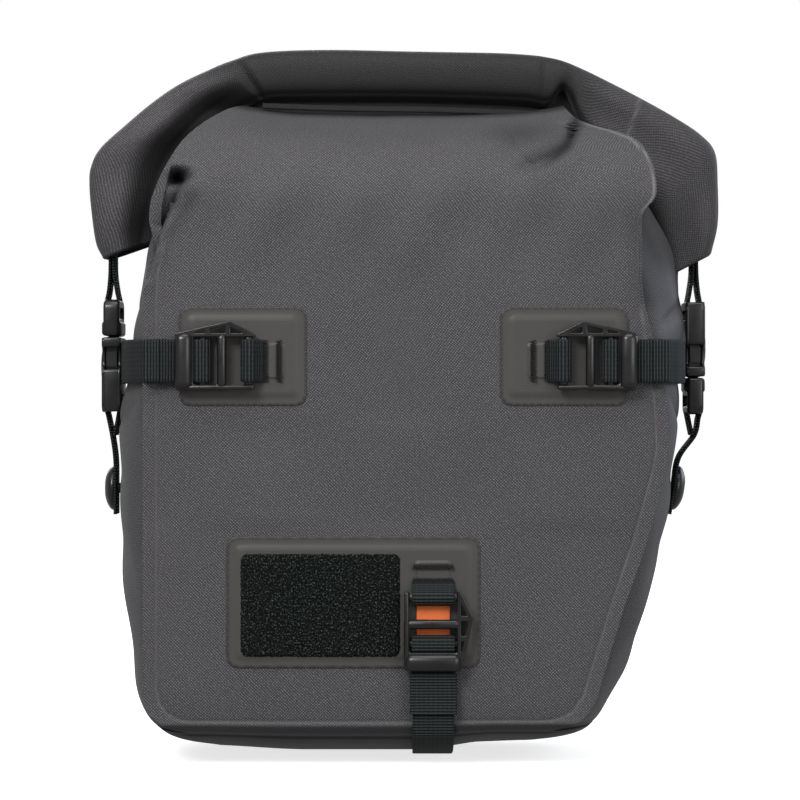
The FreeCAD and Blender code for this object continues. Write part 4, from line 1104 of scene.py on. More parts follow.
@dataclass
class RolledClosure:
    """The mouth, rolled on its batten, whose two ends bend down as ears."""

    depth: float = 34.0
    power: float = 3.4
    sides: int = 72
    # outer and inner edge of the roll, from its left ear's foot over the top to its right ear's foot
    rungs: tuple[tuple[Point, Point], ...] = (
        ((-142, 233.5), (-114, 243.5)),
        ((-145.4, 241), (-111, 251)),
        ((-147.6, 256), (-105.5, 261)),
        ((-148.6, 268), (-100, 271)),
        ((-147.9, 276.5), (-95, 280)),
        ((-143.4, 285.5), (-90, 288)),
        ((-131.5, 296.5), (-85, 295)),
        ((-120, 306.2), (-79.5, 300.5)),
        ((-107, 315.2), (-74, 304)),
        ((-93, 322.2), (-68.5, 305.5)),
        ((-80, 327.6), (-64, 306.5)),
        ((-66, 331.2), (-57, 307)),
        ((-36, 332.8), (-34, 307)),
        ((0, 332.6), (0, 307)),
        ((40, 331.6), (36, 306)),
        ((60, 330.2), (58, 305)),
        ((70, 328.6), (68, 304)),
        ((77, 326.4), (75.2, 312)),
        ((86, 322.5), (83, 297)),
        ((97, 317), (89, 288)),
        ((113, 308.8), (98, 280)),
        ((128, 300.4), (106, 271)),
        ((140.5, 292), (112, 261)),
        ((147.4, 283.5), (116, 252)),
        ((148.7, 268), (119, 244)),
        ((148.6, 250), (122, 234)),
        ((145.5, 236), (124, 225)),
    )

    def build(self) -> bpy.types.Object:
        """Make the roll.

        Returns:
            The roll.
        """
        rungs = np.array([[*outer, *inner] for outer, inner in self.rungs], float)
        line = smooth_line(rungs, 1.6)
        count = len(line)
        outer, inner = line[:, :2], line[:, 2:]
        along = np.linspace(0, 1, count)
        angle = np.linspace(0, math.tau, self.sides, endpoint=False)
        cos, sin = np.cos(angle), np.sin(angle)
        across = np.sign(cos) * np.abs(cos) ** (2 / self.power)
        deep = np.sign(sin) * np.abs(sin) ** (2 / self.power)
        share = (across[None] + 1) / 2
        x = inner[:, :1] + (outer[:, :1] - inner[:, :1]) * share
        z = inner[:, 1:] + (outer[:, 1:] - inner[:, 1:]) * share
        is_left = 1 - step(0.20, 0.30, along)[:, None]
        is_right = step(0.68, 0.78, along)[:, None]
        front = (deep < 0)[None] * np.abs(deep)[None]
        hollow = is_left * front * 9.5 * (1 - step(0.36, 0.62, share)) * step(0.0, 0.10, share)
        hollow += is_right * front * 2.2 * np.exp(-(((share - 0.45) / 0.22) ** 2))
        creases = 2.2 * np.exp(-((along[:, None] - 0.287) / 0.008) ** 2)
        creases = creases + 1.3 * np.exp(-((along[:, None] - 0.655) / 0.006) ** 2)
        creases = creases + 1.0 * np.exp(-((along[:, None] - 0.70) / 0.006) ** 2) * (1 - share)
        drape = 0.7 * np.sin(along[:, None] * 60 + share * 3) * (is_left + is_right)
        lap = 0.9 * np.exp(-(((share - 0.14) / 0.03) ** 2)) * (1 - is_left) * (1 - is_right)
        middle = MIDDLE + 3.0 * is_left * (1 - share)
        y = middle + deep[None] * self.depth / 2 + hollow + (creases + drape + lap) * front
        z = z - 1.2 * np.exp(-(((x - 8) / 60) ** 2)) * step(0.5, 1.0, share) * (1 - is_left) * (1 - is_right)
        points = np.stack([x, y, z], axis=-1)
        facing = np.clip(-deep * 3, 0, 1)[None]
        straight = (1 - is_left) * (1 - is_right)
        flank = (1 - facing) * (1 - step(0.0, 0.2, share))
        # the left ear's inner half and inner flank: partly its dark coated inner face, partly painted shade
        # in its hollow
        painted_shade_and_dark_coat = is_left * (facing * (1 - step(0.4, 0.64, share)) + flank) * 0.96
        # the straight roll is darker all over, and painted shade deepens it towards its lower edge
        painted_shade_and_dark_coat = painted_shade_and_dark_coat + straight * (0.7 + 0.27 * (1 - step(0.1, 0.75, share)))
        # the right ear: a little darker all over, and painted shade at its inner edge
        painted_shade_and_dark_coat = np.clip(painted_shade_and_dark_coat + is_right * (0.25 + 0.5 * (1 - step(0.0, 0.16, share))), 0, 1)
        # painted shade in the V-notch beside the right ear
        notch = np.exp(-(((along[:, None] - 0.705) / 0.02) ** 2)) * (1 - step(0.3, 0.75, share))
        painted_shade_and_dark_coat = np.maximum(painted_shade_and_dark_coat, notch * 0.97)
        # a pale line along the right ear's seam, a painted highlight like the shell's weld line
        weld_line_and_painted_highlight = is_right * front * np.exp(-((along[:, None] - 0.803 + share * 0.012) / 0.0016) ** 2) * 0.8
        strides = np.linalg.norm(np.diff((outer + inner) / 2, axis=0), axis=1)
        length = np.concatenate([[0], np.cumsum(strides)])
        steps_round = np.diff(points, axis=1, prepend=points[:, :1])
        around = np.cumsum(np.linalg.norm(steps_round, axis=2), axis=1)
        uv = np.stack(np.broadcast_arrays(length[:, None], around), axis=-1)
        faces: list[Sequence[int]] = list(grid_faces(count, self.sides, wrap=True))
        flat = points.reshape(-1, 3)
        rings = []
        for row in (0, count - 1):
            ring = points[row]
            centre = ring.mean(axis=0)
            previous = np.arange(self.sides) + row * self.sides
            for shrink in (0.9, 0.8, 0.5):
                rings.append(centre + (ring - centre) * shrink + [0, 0, -0.8 if shrink > 0.85 else 3.0])
                current = np.arange(self.sides) + len(flat) + (len(rings) - 1) * self.sides
                for k in range(self.sides):
                    beside = (k + 1) % self.sides
                    quad = (previous[k], previous[beside], current[beside], current[k])
                    faces.append(quad if row else quad[::-1])
                previous = current
            faces.append(list(previous if row else previous[::-1]))
        whole = np.vstack([flat, *rings])
        extra = len(whole) - len(flat)
        uv = np.vstack([uv.reshape(-1, 2), np.vstack(rings)[:, [0, 1]]])
        marks = {
            "weld_line_and_painted_highlight": np.concatenate([np.broadcast_to(weld_line_and_painted_highlight, x.shape).ravel(), np.zeros(extra)]),
            # the roll's end caps are darker too
            "painted_shade_and_dark_coat": np.concatenate([np.broadcast_to(painted_shade_and_dark_coat, x.shape).ravel(), np.full(extra, 0.7)]),
        }
        return mesh_piece("rolled_mouth", whole, faces, ROLL_NYLON, uv, marks, sharp=70)

    def lip(self) -> bpy.types.Object:
        """The mouth's inner layer, showing as a thin edge under the roll, in near-black nylon as painted
        shade.
        """
        edge = [(-66, -27.2, 304.5), (-30, -27.8, 303.2), (20, -27.6, 302.4), (70, -27.0, 300.5)]
        path = smooth_line(edge, 2)
        return ribbon("mouth_lip", path, (0, 0.25, 0.968), 3, 1.2, SHADED_HEM_NYLON)

    def sleeve(self) -> bpy.types.Object:
        """The mouth's wall between the shell and the roll."""
        levels = np.concatenate([np.linspace(291, 298, 4), np.linspace(298.4, 310, 30), [313.0]])
        half_x, half_y = 86, 7.5
        angle = np.linspace(0, math.tau, 121)
        cos, sin = np.cos(angle), np.sin(angle)
        x = half_x * np.sign(cos) * np.abs(cos) ** 0.35
        y = MIDDLE + half_y * np.sign(sin) * np.abs(sin) ** 0.6
        points = np.stack(np.broadcast_arrays(x[None], y[None], levels[:, None]), axis=-1).reshape(-1, 3)
        uv = np.stack(np.broadcast_arrays(angle[None] * 45, (levels[:, None] - 298) * 10), axis=-1)
        uv = uv.reshape(-1, 2)
        # the whole wall is painted near-black: its dark coated inner face and painted shade under the roll
        marks = {"painted_shade_and_dark_coat": np.full(len(points), 0.85), "weld_line_and_painted_highlight": np.zeros(len(points))}
        faces = grid_faces(len(levels), len(angle))
        return mesh_piece("mouth_sleeve", points, faces, ROLL_NYLON, uv, marks)


# ---------------------------------------------------------------- front patches


@dataclass
class WeldedPatch:
    """A film-faced patch welded to the front panel; its middle stands proud of its rim."""

    name: str
    low: Point
    high: Point
    rim: float = 4.2
    corner: float = 6.0
    height: float = 1.25
    finish: Finish = PATCH_FILM

    def build(self) -> bpy.types.Object:
        """Make the patch.

        Returns:
            The patch.
        """
        steps = ((0.0, -1.6), (0.0, 0.45), (0.25, 0.62), (0.9, 0.66), (1.6, 0.6), (self.rim - 0.8, 0.58))
        steps += ((self.rim, 0.8), (self.rim + 0.9, 1.15), (self.rim + 2.2, self.height))
        rows = []
        uv = []
        for inset, proud in steps:
            low = (self.low[0] + inset, self.low[1] + inset)
            high = (self.high[0] - inset, self.high[1] - inset)
            corners = rectangle(low, high)
            loop = self.outline(corners, max(self.corner - inset * 0.7, 2.0))
            rows.append(np.column_stack([loop[:, 0], np.full(len(loop), FRONT - proud), loop[:, 1]]))
            uv.append(loop)
        count = len(rows[0])
        faces: list[Sequence[int]] = [face[::-1] for face in grid_faces(len(rows), count, wrap=True)]
        faces.append(range((len(rows) - 1) * count, len(rows) * count))
        rim = np.concatenate([np.full(count, 0.7 * (0.2 < inset < 1.2)) for inset, _ in steps])
        dashes = np.tile(0.35 + 0.65 * (np.arange(count) % 3 < 2), len(steps))
        marks = {"weld_line_and_painted_highlight": rim * dashes, "painted_shade_and_dark_coat": np.zeros(len(rim))}
        return mesh_piece(self.name, np.vstack(rows), faces, self.finish, np.vstack(uv), marks, sharp=75)

    def outline(self, corners: Sequence[Point], radius: float) -> np.ndarray:
        """A rounded rectangle with evenly divided sides, so that every inset has as many points."""
        points = []
        count = len(corners)
        for index in range(count):
            before, here, after = (np.array(corners[(index + k) % count], float) for k in (-1, 0, 1))
            start = here + (before - here) / np.linalg.norm(before - here) * radius
            end = here + (after - here) / np.linalg.norm(after - here) * radius
            for share in np.linspace(0, 1, 9):
                points.append((1 - share) ** 2 * start + 2 * share * (1 - share) * here + share**2 * end)
            far = after + (here - after) / np.linalg.norm(here - after) * radius
            points.extend(end + (far - end) * share for share in np.linspace(0, 1, 42)[1:-1])
        return np.array(points)


@dataclass
class LoopField:
    """The loop tape on the lower patch, whose pile makes its face and edges fuzzy."""

    low: Point = (-74.1, 49.9)
    high: Point = (-1.4, 97.1)
    corner: float = 3.6
    pile: float = 1.5
    spacing: float = 0.55

    def build(self) -> bpy.types.Object:
        """Make the tape.

        Returns:
            The tape.
        """
        noise = np.random.default_rng(7)
        x = np.arange(self.low[0], self.high[0] + 0.01, self.spacing)
        z = np.arange(self.low[1], self.high[1] + 0.01, self.spacing)
        grid_x, grid_z = np.meshgrid(x, z)
        centre_x, centre_z = (self.low[0] + self.high[0]) / 2, (self.low[1] + self.high[1]) / 2
        half_x, half_z = (self.high[0] - self.low[0]) / 2, (self.high[1] - self.low[1]) / 2
        out_x = np.maximum(np.abs(grid_x - centre_x) - half_x + self.corner, 0)
        out_z = np.maximum(np.abs(grid_z - centre_z) - half_z + self.corner, 0)
        over = np.hypot(out_x, out_z)
        pull = np.where(over > self.corner, self.corner / np.maximum(over, 1e-6), 1.0)
        grid_x = centre_x + np.sign(grid_x - centre_x) * (np.abs(grid_x - centre_x) - out_x * (1 - pull))
        grid_z = centre_z + np.sign(grid_z - centre_z) * (np.abs(grid_z - centre_z) - out_z * (1 - pull))
        edge = self.corner - np.minimum(over, self.corner)
        rise = step(0.0, 1.2, edge)
        tuft = noise.normal(0, 0.22, grid_x.shape)
        proud = 1.15 + (self.pile - 0.35 + tuft) * rise
        grid_x = grid_x + noise.normal(0, 0.16, grid_x.shape)
        grid_z = grid_z + noise.normal(0, 0.16, grid_z.shape)
        points = np.stack([grid_x, FRONT - proud, grid_z], axis=-1).reshape(-1, 3)
        faces = grid_faces(len(z), len(x))
        return mesh_piece("loop_tape", points, faces, LOOP_TAPE, points[:, [0, 2]], sharp=80)


def zigzag(name: str, start: Point, end: Point, reach: float, proud: float, turns: int) -> bpy.types.Object:
    """A bar-tack: thread that zigzags between two points of the front.

    Args:
        name: the piece's name.
        start: where it starts, as X and Z.
        end: where it ends.
        reach: how far it swings to each side.
        proud: how far it stands off the front panel.
        turns: how many times it swings.

    Returns:
        The thread.
    """
    first, last = np.array(start, float), np.array(end, float)
    side = np.array([-(last - first)[1], (last - first)[0]])
    side /= np.linalg.norm(side)
    rows = []
    for index in range(turns * 2 + 1):
        spot = first + (last - first) * index / (turns * 2) + side * reach * (1 if index % 2 else -1)
        rows.append((spot[0], FRONT - proud, spot[1]))
        if index < turns * 2:
            follow = first + (last - first) * (index + 0.5) / (turns * 2)
            rows.append((follow[0], FRONT - proud - 0.25, follow[1]))
    return tube(name, np.array(rows), 0.4, THREAD, sides=5)


# ---------------------------------------------------------------- tensioners


class Tension(Enum):
    """The three ladder-lock tensioners on the front."""

    LEFT = "left"
    RIGHT = "right"
    LOWER = "lower"


@dataclass
class Tensioner:
    """A ladder-lock with its truss wing, its strap and the webbing that holds it to its patch.

    Lengths run along it from its cam bar to its loop bar, across it towards its wing, and out
    from its patch.
    """

    place: Tension
    length: float = 36.7
    half: float = 13.4
    window: float = 10.7
    apex: Point = (24.8, 18.1)
    shoulder: float = 11.6
    webbing: float = 19.6
    cloth: float = 1.3
    # where each cam bar starts: the left and right ones in X, the lower one in height
    left_cam: float = -103.7
    right_cam: float = 106.1
    lower_cam: float = 43.6
    patch: float = 1.2

    @property
    def tail(self) -> float:
        """How far the strap's free end reaches past the cam bar."""
        return 19.0 if self.place is Tension.LOWER else 14.0

    def spot(self, along: float, across: float, out: float) -> tuple[float, float, float]:
        """Turn along, across and out into the part's frame."""
        depth = FRONT - self.patch - out
        if self.place is Tension.LEFT:
            return (self.left_cam + along, depth, STRAP_LEVEL + across)
        if self.place is Tension.RIGHT:
            return (self.right_cam - along, depth, STRAP_LEVEL + across)
        return (LOWER_STRAP_X + across, depth, self.lower_cam + along)

    def matrix(self, out: float) -> Matrix:
        """The matrix that lays an (along, across) outline at one height off the patch."""
        origin = Vector(self.spot(0, 0, out))
        along = Vector(self.spot(1, 0, out)) - origin
        across = Vector(self.spot(0, 1, out)) - origin
        normal = along.cross(across)
        rows = Matrix((along, across, normal)).transposed().to_4x4()
        rows.translation = origin
        return rows

    def bar(
        self, name: str, start: float, end: float, half: float, low: float, high: float, radius: float
    ) -> bpy.types.Object:
        """A rounded bar across the lock.

        Args:
            name: the piece's name.
            start: where it starts along the lock.
            end: where it ends.
            half: how far it reaches to each side.
            low: its lowest height off the patch.
            high: its highest.
            radius: its edges' rounding.

        Returns:
            The bar.
        """
        first = np.array(self.spot(start, -half, low))
        last = np.array(self.spot(end, half, high))
        return block(name, (first + last) / 2, np.abs(last - first), radius, ACETAL)

    def frame(self) -> bpy.types.Object:
        """The moulded body: a ring plate, a truss plate beside it, and the bars across them.

        Returns:
            The body.
        """
        name = f"lock_frame_{self.place.value}"
        ring = rounded(rectangle((0.3, -self.half), (23.4, self.half - 0.8)), 1.6)
        window = rounded(rectangle((8.6, -self.window), (19.4, self.window)), 1.2)
        pieces = [plate(name, ring, [window], 4.6, 0.9, self.matrix(4.5), ACETAL)]
        truss = [
            (0.3, self.window + 0.2), (self.length, self.window + 0.2),
            (self.length, self.shoulder + 0.6), self.apex, (14.0, 15.7), (0.3, self.shoulder + 1.0),
        ]
        gaps = [
            [(8.8, 12.6), (13.8, 12.6), (13.8, 14.0)],
            [(16.2, 12.6), (22.9, 12.6), (22.9, 15.8), (16.2, 14.3)],
            [(25.4, 12.6), (30.6, 12.6), (25.4, 15.3)],
        ]
        holes = [rounded(gap, 0.5) for gap in gaps]
        wing = plate(f"{name}_truss", rounded(truss, 1.0), holes, 5.2, 0.45, self.matrix(4.7), ACETAL)
        pieces.append(wing)
        pieces.append(self.bar("cam", 0.0, 8.2, self.half - 0.6, 2.4, 9.2, 3.2))
        pieces.append(self.bar("strap_bar", 10.9, 14.0, self.window + 1, 2.7, 5.1, 1.1))
        pieces.append(self.bar("middle", 19.3, 23.6, self.window + 1.4, 2.4, 7.8, 1.9))
        pieces.append(self.bar("loop_bar", 31.6, 35.4, self.window + 1, 2.5, 6.3, 1.6))
        pieces.append(self.bar("low_rail", 1.2, self.length - 0.4, 1.1, 2.4, 7.3, 1.0))
        shift = Vector(self.spot(0, -self.half + 1.35, 0)) - Vector(self.spot(0, 0, 0))
        pieces[-1].data.transform(Matrix.Translation(shift * MM))
        return merge(name, pieces)

    def strap(self) -> bpy.types.Object:
        """The strap's end: under the cam, round the strap bar and back out.

        Returns:
            The strap.
        """
        route = [
            (-5, 0.9), (4, 0.9), (13, 0.9), (15.2, 1.9), (15.9, 3.6), (15.0, 5.5), (12.8, 6.2), (10, 6.0),
            (8.6, 4.4), (7.0, 2.75), (0, 2.45), (-6, 2.5), (-self.tail + 1, 2.6),
        ]
        path = smooth_line([self.spot(along, 0, out) for along, out in route], 0.7)
        across = np.array(self.spot(0, 1, 0)) - np.array(self.spot(0, 0, 0))
        return ribbon(f"strap_tip_{self.place.value}", path, across, self.webbing, self.cloth, WEBBING)

    def hem(self) -> bpy.types.Object:
        """The strap's free end, turned under and sewn so that it can't slip through."""
        reach = self.tail
        lower = self.place is Tension.LOWER
        start = -1.0 if lower else -reach + 7
        width = self.webbing + (1.8 if lower else -0.4)
        turned_end = [(1.5, 3.9), (0.2, 3.1), (1.0, 2.2), (4, 1.9)]
        route = [(start, 3.6), *((along - reach, out) for along, out in turned_end)]
        path = smooth_line([self.spot(along, 0, out) for along, out in route], 0.5)
        across = np.array(self.spot(0, 1, 0)) - np.array(self.spot(0, 0, 0))
        return ribbon(f"strap_hem_{self.place.value}", path, across, width, self.cloth, WEBBING)

    def holder(self) -> bpy.types.Object:
        """The webbing folded round the loop bar and sewn to the patch.

        Returns:
            The webbing.
        """
        centre, ring = 33.5, 3.0
        route = [(40.5, 0.6), (39, 1.7), (37.6, 3.4), (36.6, 4.8)]
        for angle in np.radians((50, 90, 135, 180, 225)):
            route.append((centre + ring * math.cos(angle), 4.4 + ring * math.sin(angle)))
        route += [(33.6, 1.35), (36.5, 0.9), (38.5, 0.5), (40.5, 0.1)]
        path = smooth_line([self.spot(along, 0, out) for along, out in route], 0.6)
        across = np.array(self.spot(0, 1, 0)) - np.array(self.spot(0, 0, 0))
        name = f"lock_holder_{self.place.value}"
        return ribbon(name, path, across, self.webbing - 0.2, self.cloth, WEBBING)

    def cover(self) -> bpy.types.Object:
        """The patch's film where it is raised over the holder's buried end."""
        ends = [self.spot(38.2, -10.6, 0), self.spot(52.5, 10.6, 0)]
        low = (min(end[0] for end in ends), min(end[2] for end in ends))
        high = (max(end[0] for end in ends), max(end[2] for end in ends))
        return WeldedPatch(f"holder_cover_{self.place.value}", low, high, 1.2, 2.2, 2.0).build()

    def tacks(self) -> list[bpy.types.Object]:
        """The two bar-tacks that sew the holder down."""
        pieces = []
        for number, (along, reach) in enumerate(((41.2, 0.9), (47.2, 1.3))):
            low, high = self.spot(along, -9.2, 0), self.spot(along, 9.2, 0)
            name = f"bar_tack_{self.place.value}_{number}"
            pieces.append(zigzag(name, (low[0], low[2]), (high[0], high[2]), reach, 2.6, 15))
        return pieces

    def build(self) -> None:
        """Make the tensioner and fix each piece to its body."""
        word = self.place.value
        body = f"tensioner_{word}"
        settle(self.frame(), body, "acetal", f"ladder_lock_{word}")
        settle(self.strap(), body, "webbing", f"strap_end_{word}")
        settle(self.hem(), body, "webbing")
        settle(self.holder(), "bag", "webbing", f"webbing_loop_{word}")
        settle(self.cover(), "bag", "welded_patch")
        for piece in self.tacks():
            settle(piece, "bag", "webbing")


# ---------------------------------------------------------------- straps round the bag


@dataclass
class CompressionStraps:
    """The three straps that tighten the bag: one round each gusset and one under the base."""

    width: float = 20.0
    cloth: float = 1.3

    def side_strap(self, side: Side) -> bpy.types.Object:
        """The strap from a tensioner round its gusset to the back panel.

        Args:
            side: which end of the bag.

        Returns:
            The strap.
        """
        sign = side.value
        start, corner = {Side.LEFT: (107.8, 118.6), Side.RIGHT: (110.2, 116.0)}[side]
        route = [
            (start, FRONT - 2.4), (start + 5, FRONT - 2.3), (118.5, FRONT + 1.0), (122.5, FRONT + 8),
            (126.5, -58), (130.2, -42), (131.4, -24), (131.6, MIDDLE), (131.4, 8), (129.8, 26),
            (corner + 7.8, 43), (corner + 4.4, 51.5), (corner + 0.8, 56.4), (corner - 6, 56.7), (98, 56.6),
        ]
        path = smooth_line([(sign * x, y, STRAP_LEVEL) for x, y in route], 1.2)
        name = f"side_compression_strap_{side.word}"
        return ribbon(name, path, (0, 0, 1), self.width, self.cloth, WEBBING)

    def low_strap(self) -> bpy.types.Object:
        """The strap from the lower tensioner down and under the base."""
        route = [
            (FRONT - 2.5, 39), (FRONT - 2.6, 30), (FRONT - 2.3, 20), (FRONT - 0.9, 14.6),
            (FRONT + 3.5, 11.1), (FRONT + 11, 7.9), (FRONT + 21, 5.3), (FRONT + 33, 3.2), (FRONT + 46, 1.6),
        ]
        path = smooth_line([(LOWER_STRAP_X, y, z) for y, z in route], 1.0)
        return ribbon("low_compression_strap", path, (1, 0, 0), self.width - 1.2, self.cloth, WEBBING)

    def build(self) -> None:
        """Make the three straps."""
        for side in Side:
            settle(self.side_strap(side), "bag", "webbing", f"strap_{side.word}")
        settle(self.low_strap(), "bag", "webbing", "strap_lower")


# ---------------------------------------------------------------- side buckles


@dataclass
class SideBuckle:
    """A side-release buckle on a gusset, with the webbing above and below it.

    Its own frame has length along the strap from the line where its halves meet, positive into the
    receiving half, width along Y and thickness along X.
    """

    side: Side
    x: float = 137.3
    width: float = 30.0
    anchor_level: float = 125.0

    @property
    def meeting(self) -> float:
        """The level where the two halves meet."""
        return {Side.LEFT: 196.4, Side.RIGHT: 177.4}[self.side]

    @property
    def up(self) -> float:
        """+1 if the receiving half is above, -1 if below."""
        return {Side.LEFT: -1.0, Side.RIGHT: 1.0}[self.side]

    @property
    def bodies(self) -> tuple[str, str]:
        """The bodies of the receiving half and of the plug."""
        return {Side.LEFT: ("bag", "roll_top"), Side.RIGHT: ("roll_top", "bag")}[self.side]

    def matrix(self, out: float) -> Matrix:
        """Lays a (width, length) outline in the buckle's plane, out from its middle plane."""
        sign = self.side.value
        rows = Matrix(((0, 0, sign, 0), (1, 0, 0, 0), (0, self.up, 0, 0), (0, 0, 0, 1)))
        rows.translation = Vector((sign * (self.x + out), MIDDLE, self.meeting))
        return rows

    def spot(self, out: float, wide: float, along: float) -> tuple[float, float, float]:
        """Turn a place in the buckle into the part's frame."""
        return (self.side.value * (self.x + out), MIDDLE + wide, self.meeting + self.up * along)

    def bar(
        self, size: Point, out: tuple[float, float], start: float, end: float, radius: float
    ) -> bpy.types.Object:
        """A rounded block between two widths, two heights out and two places along."""
        first = np.array(self.spot(out[0], size[0], start))
        last = np.array(self.spot(out[1], size[1], end))
        return block("part", (first + last) / 2, np.abs(last - first), radius, ACETAL)

    def receiver(self) -> bpy.types.Object:
        """The receiving half: two cheeks, a waisted window at each side and the strap slot.

        Returns:
            The half.
        """
        half = self.width / 2
        waist = half - 3.6
        right = [
            (half, 0.3), (half, 4.6), (waist, 6.4), (waist, 13.6), (half, 15.4), (half, 33.0),
            (half - 2.5, 35.5),
        ]
        outline = right + [(-wide, along) for wide, along in reversed(right)]
        slot = rounded(rectangle((-11, 26.9), (11, 31.5)), 1.6)
        name = f"buckle_receiver_{self.side.word}"
        pieces = []
        for out in (-3.7, 3.7):
            pieces.append(plate(name, rounded(outline, 2.2), [slot], 1.6, 0.6, self.matrix(out), ACETAL))
        for sign in (-1, 1):
            pieces.append(self.bar((sign * 11.9, sign * 15), (-4.4, 4.4), 0.3, 4.9, 1.1))
            pieces.append(self.bar((sign * 11.6, sign * 14.9), (-4.4, 4.4), 15.2, 35.2, 1.4))
        pieces.append(self.bar((-12.5, 12.5), (-4.4, 4.4), 23.8, 27.0, 1.2))
        pieces.append(self.bar((-12.5, 12.5), (-1.9, 1.9), 31.4, 35.3, 1.5))
        dome = [(0.0, 9.5), (0.55, 9.0), (0.95, 7.2), (1.15, 4.0), (1.2, 0.05)]
        boss = turned("boss", dome, self.matrix(4.4) @ Matrix.Translation((0, 14.0, 0)), ACETAL)
        pieces.append(boss)
        return merge(name, pieces)

    def plug(self) -> bpy.types.Object:
        """The plug's base with its strap slot and middle guide.

        Returns:
            The plug.
        """
        half = self.width / 2
        right = [(half - 2.5, -17.6), (half, -15.0), (half, -0.3)]
        outline = right + [(-wide, along) for wide, along in reversed(right)]
        slot = rounded(rectangle((-11, -13.6), (11, -9.0)), 1.6)
        name = f"buckle_plug_{self.side.word}"
        pieces = [plate(name, rounded(outline, 2.0), [slot], 7.6, 1.4, self.matrix(0), ACETAL)]
        pieces.append(self.bar((-14.6, 14.6), (-4.5, 4.5), -7.4, -0.4, 1.6))
        pieces.append(self.bar((-2.2, 2.2), (-2.4, 2.4), -1.0, 19.8, 0.9))
        return merge(name, pieces)

    def webbing_top(self) -> bpy.types.Object:
        """The webbing from the ear to the buckle's upper bar, folded round it."""
        high = {Side.LEFT: 212.0, Side.RIGHT: 210.9}[self.side]
        sign = self.side.value
        route = [
            (1.0, 236), (1.2, 226), (1.9, 218), (2.9, high + 1), (2.4, high - 2.2), (0, high - 3.2),
            (-2.4, high - 2.2), (-2.9, high + 1), (-1.9, 218), (-0.8, 226), (-0.6, 236),
        ]
        path = smooth_line([(sign * (self.x + out), MIDDLE, z) for out, z in route], 0.8)
        return ribbon(f"ear_webbing_{self.side.word}", path, (0, 1, 0), 20, 1.3, WEBBING)

    def webbing_low(self) -> bpy.types.Object:
        """The webbing from the buckle's lower bar to its anchor."""
        sign = self.side.value
        bar = {Side.LEFT: 162.9, Side.RIGHT: 161.8}[self.side]
        foot, top = {Side.LEFT: (136.0, 136.0), Side.RIGHT: (125.7, 130.0)}[self.side]
        route = [
            (self.x - 0.9, 150), (self.x - 2.6, bar - 3.5), (self.x - 2.9, bar), (self.x, bar + 3.1),
            (self.x + 2.9, bar), (self.x + 2.2, bar - 4), (self.x + 0.4, 150), (top + 0.2, 139),
            ((foot + top) / 2, self.anchor_level), (foot, 112.7),
        ]
        path = smooth_line([(sign * x, MIDDLE, z) for x, z in route], 0.9)
        return ribbon(f"anchor_webbing_{self.side.word}", path, (0, 1, 0), 20, 1.3, WEBBING)

    def button(self) -> bpy.types.Object:
        """The domed anchor with a raised rim and a recessed middle."""
        turn, foot = {Side.LEFT: (-90.0, 136.8), Side.RIGHT: (99.09, 128.6)}[self.side]
        spot = Matrix.Translation((self.side.value * (foot + 0.1), MIDDLE, self.anchor_level))
        place = spot @ Matrix.Rotation(math.radians(turn), 4, "Y")
        profile = [
            (-8.0, 2.5), (-0.4, 2.5), (-0.3, 10.3), (0.4, 10.5), (1.3, 10.3), (2.2, 9.4), (3.1, 7.9),
            (3.8, 6.2), (4.2, 4.6), (4.2, 3.6), (3.5, 3.2), (3.4, 0.05),
        ]
        return turned(f"anchor_button_{self.side.word}", profile, place, ACETAL)

    def build(self) -> None:
        """Make the buckle and fix each piece to its body."""
        word = self.side.word
        receiving, plugged = self.bodies
        settle(self.receiver(), receiving, "acetal", f"side_buckle_{word}_female")
        settle(self.plug(), plugged, "acetal", f"side_buckle_{word}_male")
        settle(self.webbing_top(), "roll_top", "webbing", f"roll_strap_{word}")
        settle(self.webbing_low(), "bag", "webbing", f"side_strap_{word}")
        settle(self.button(), "bag", "acetal", "anchor_buttons")


# ---------------------------------------------------------------- rack side


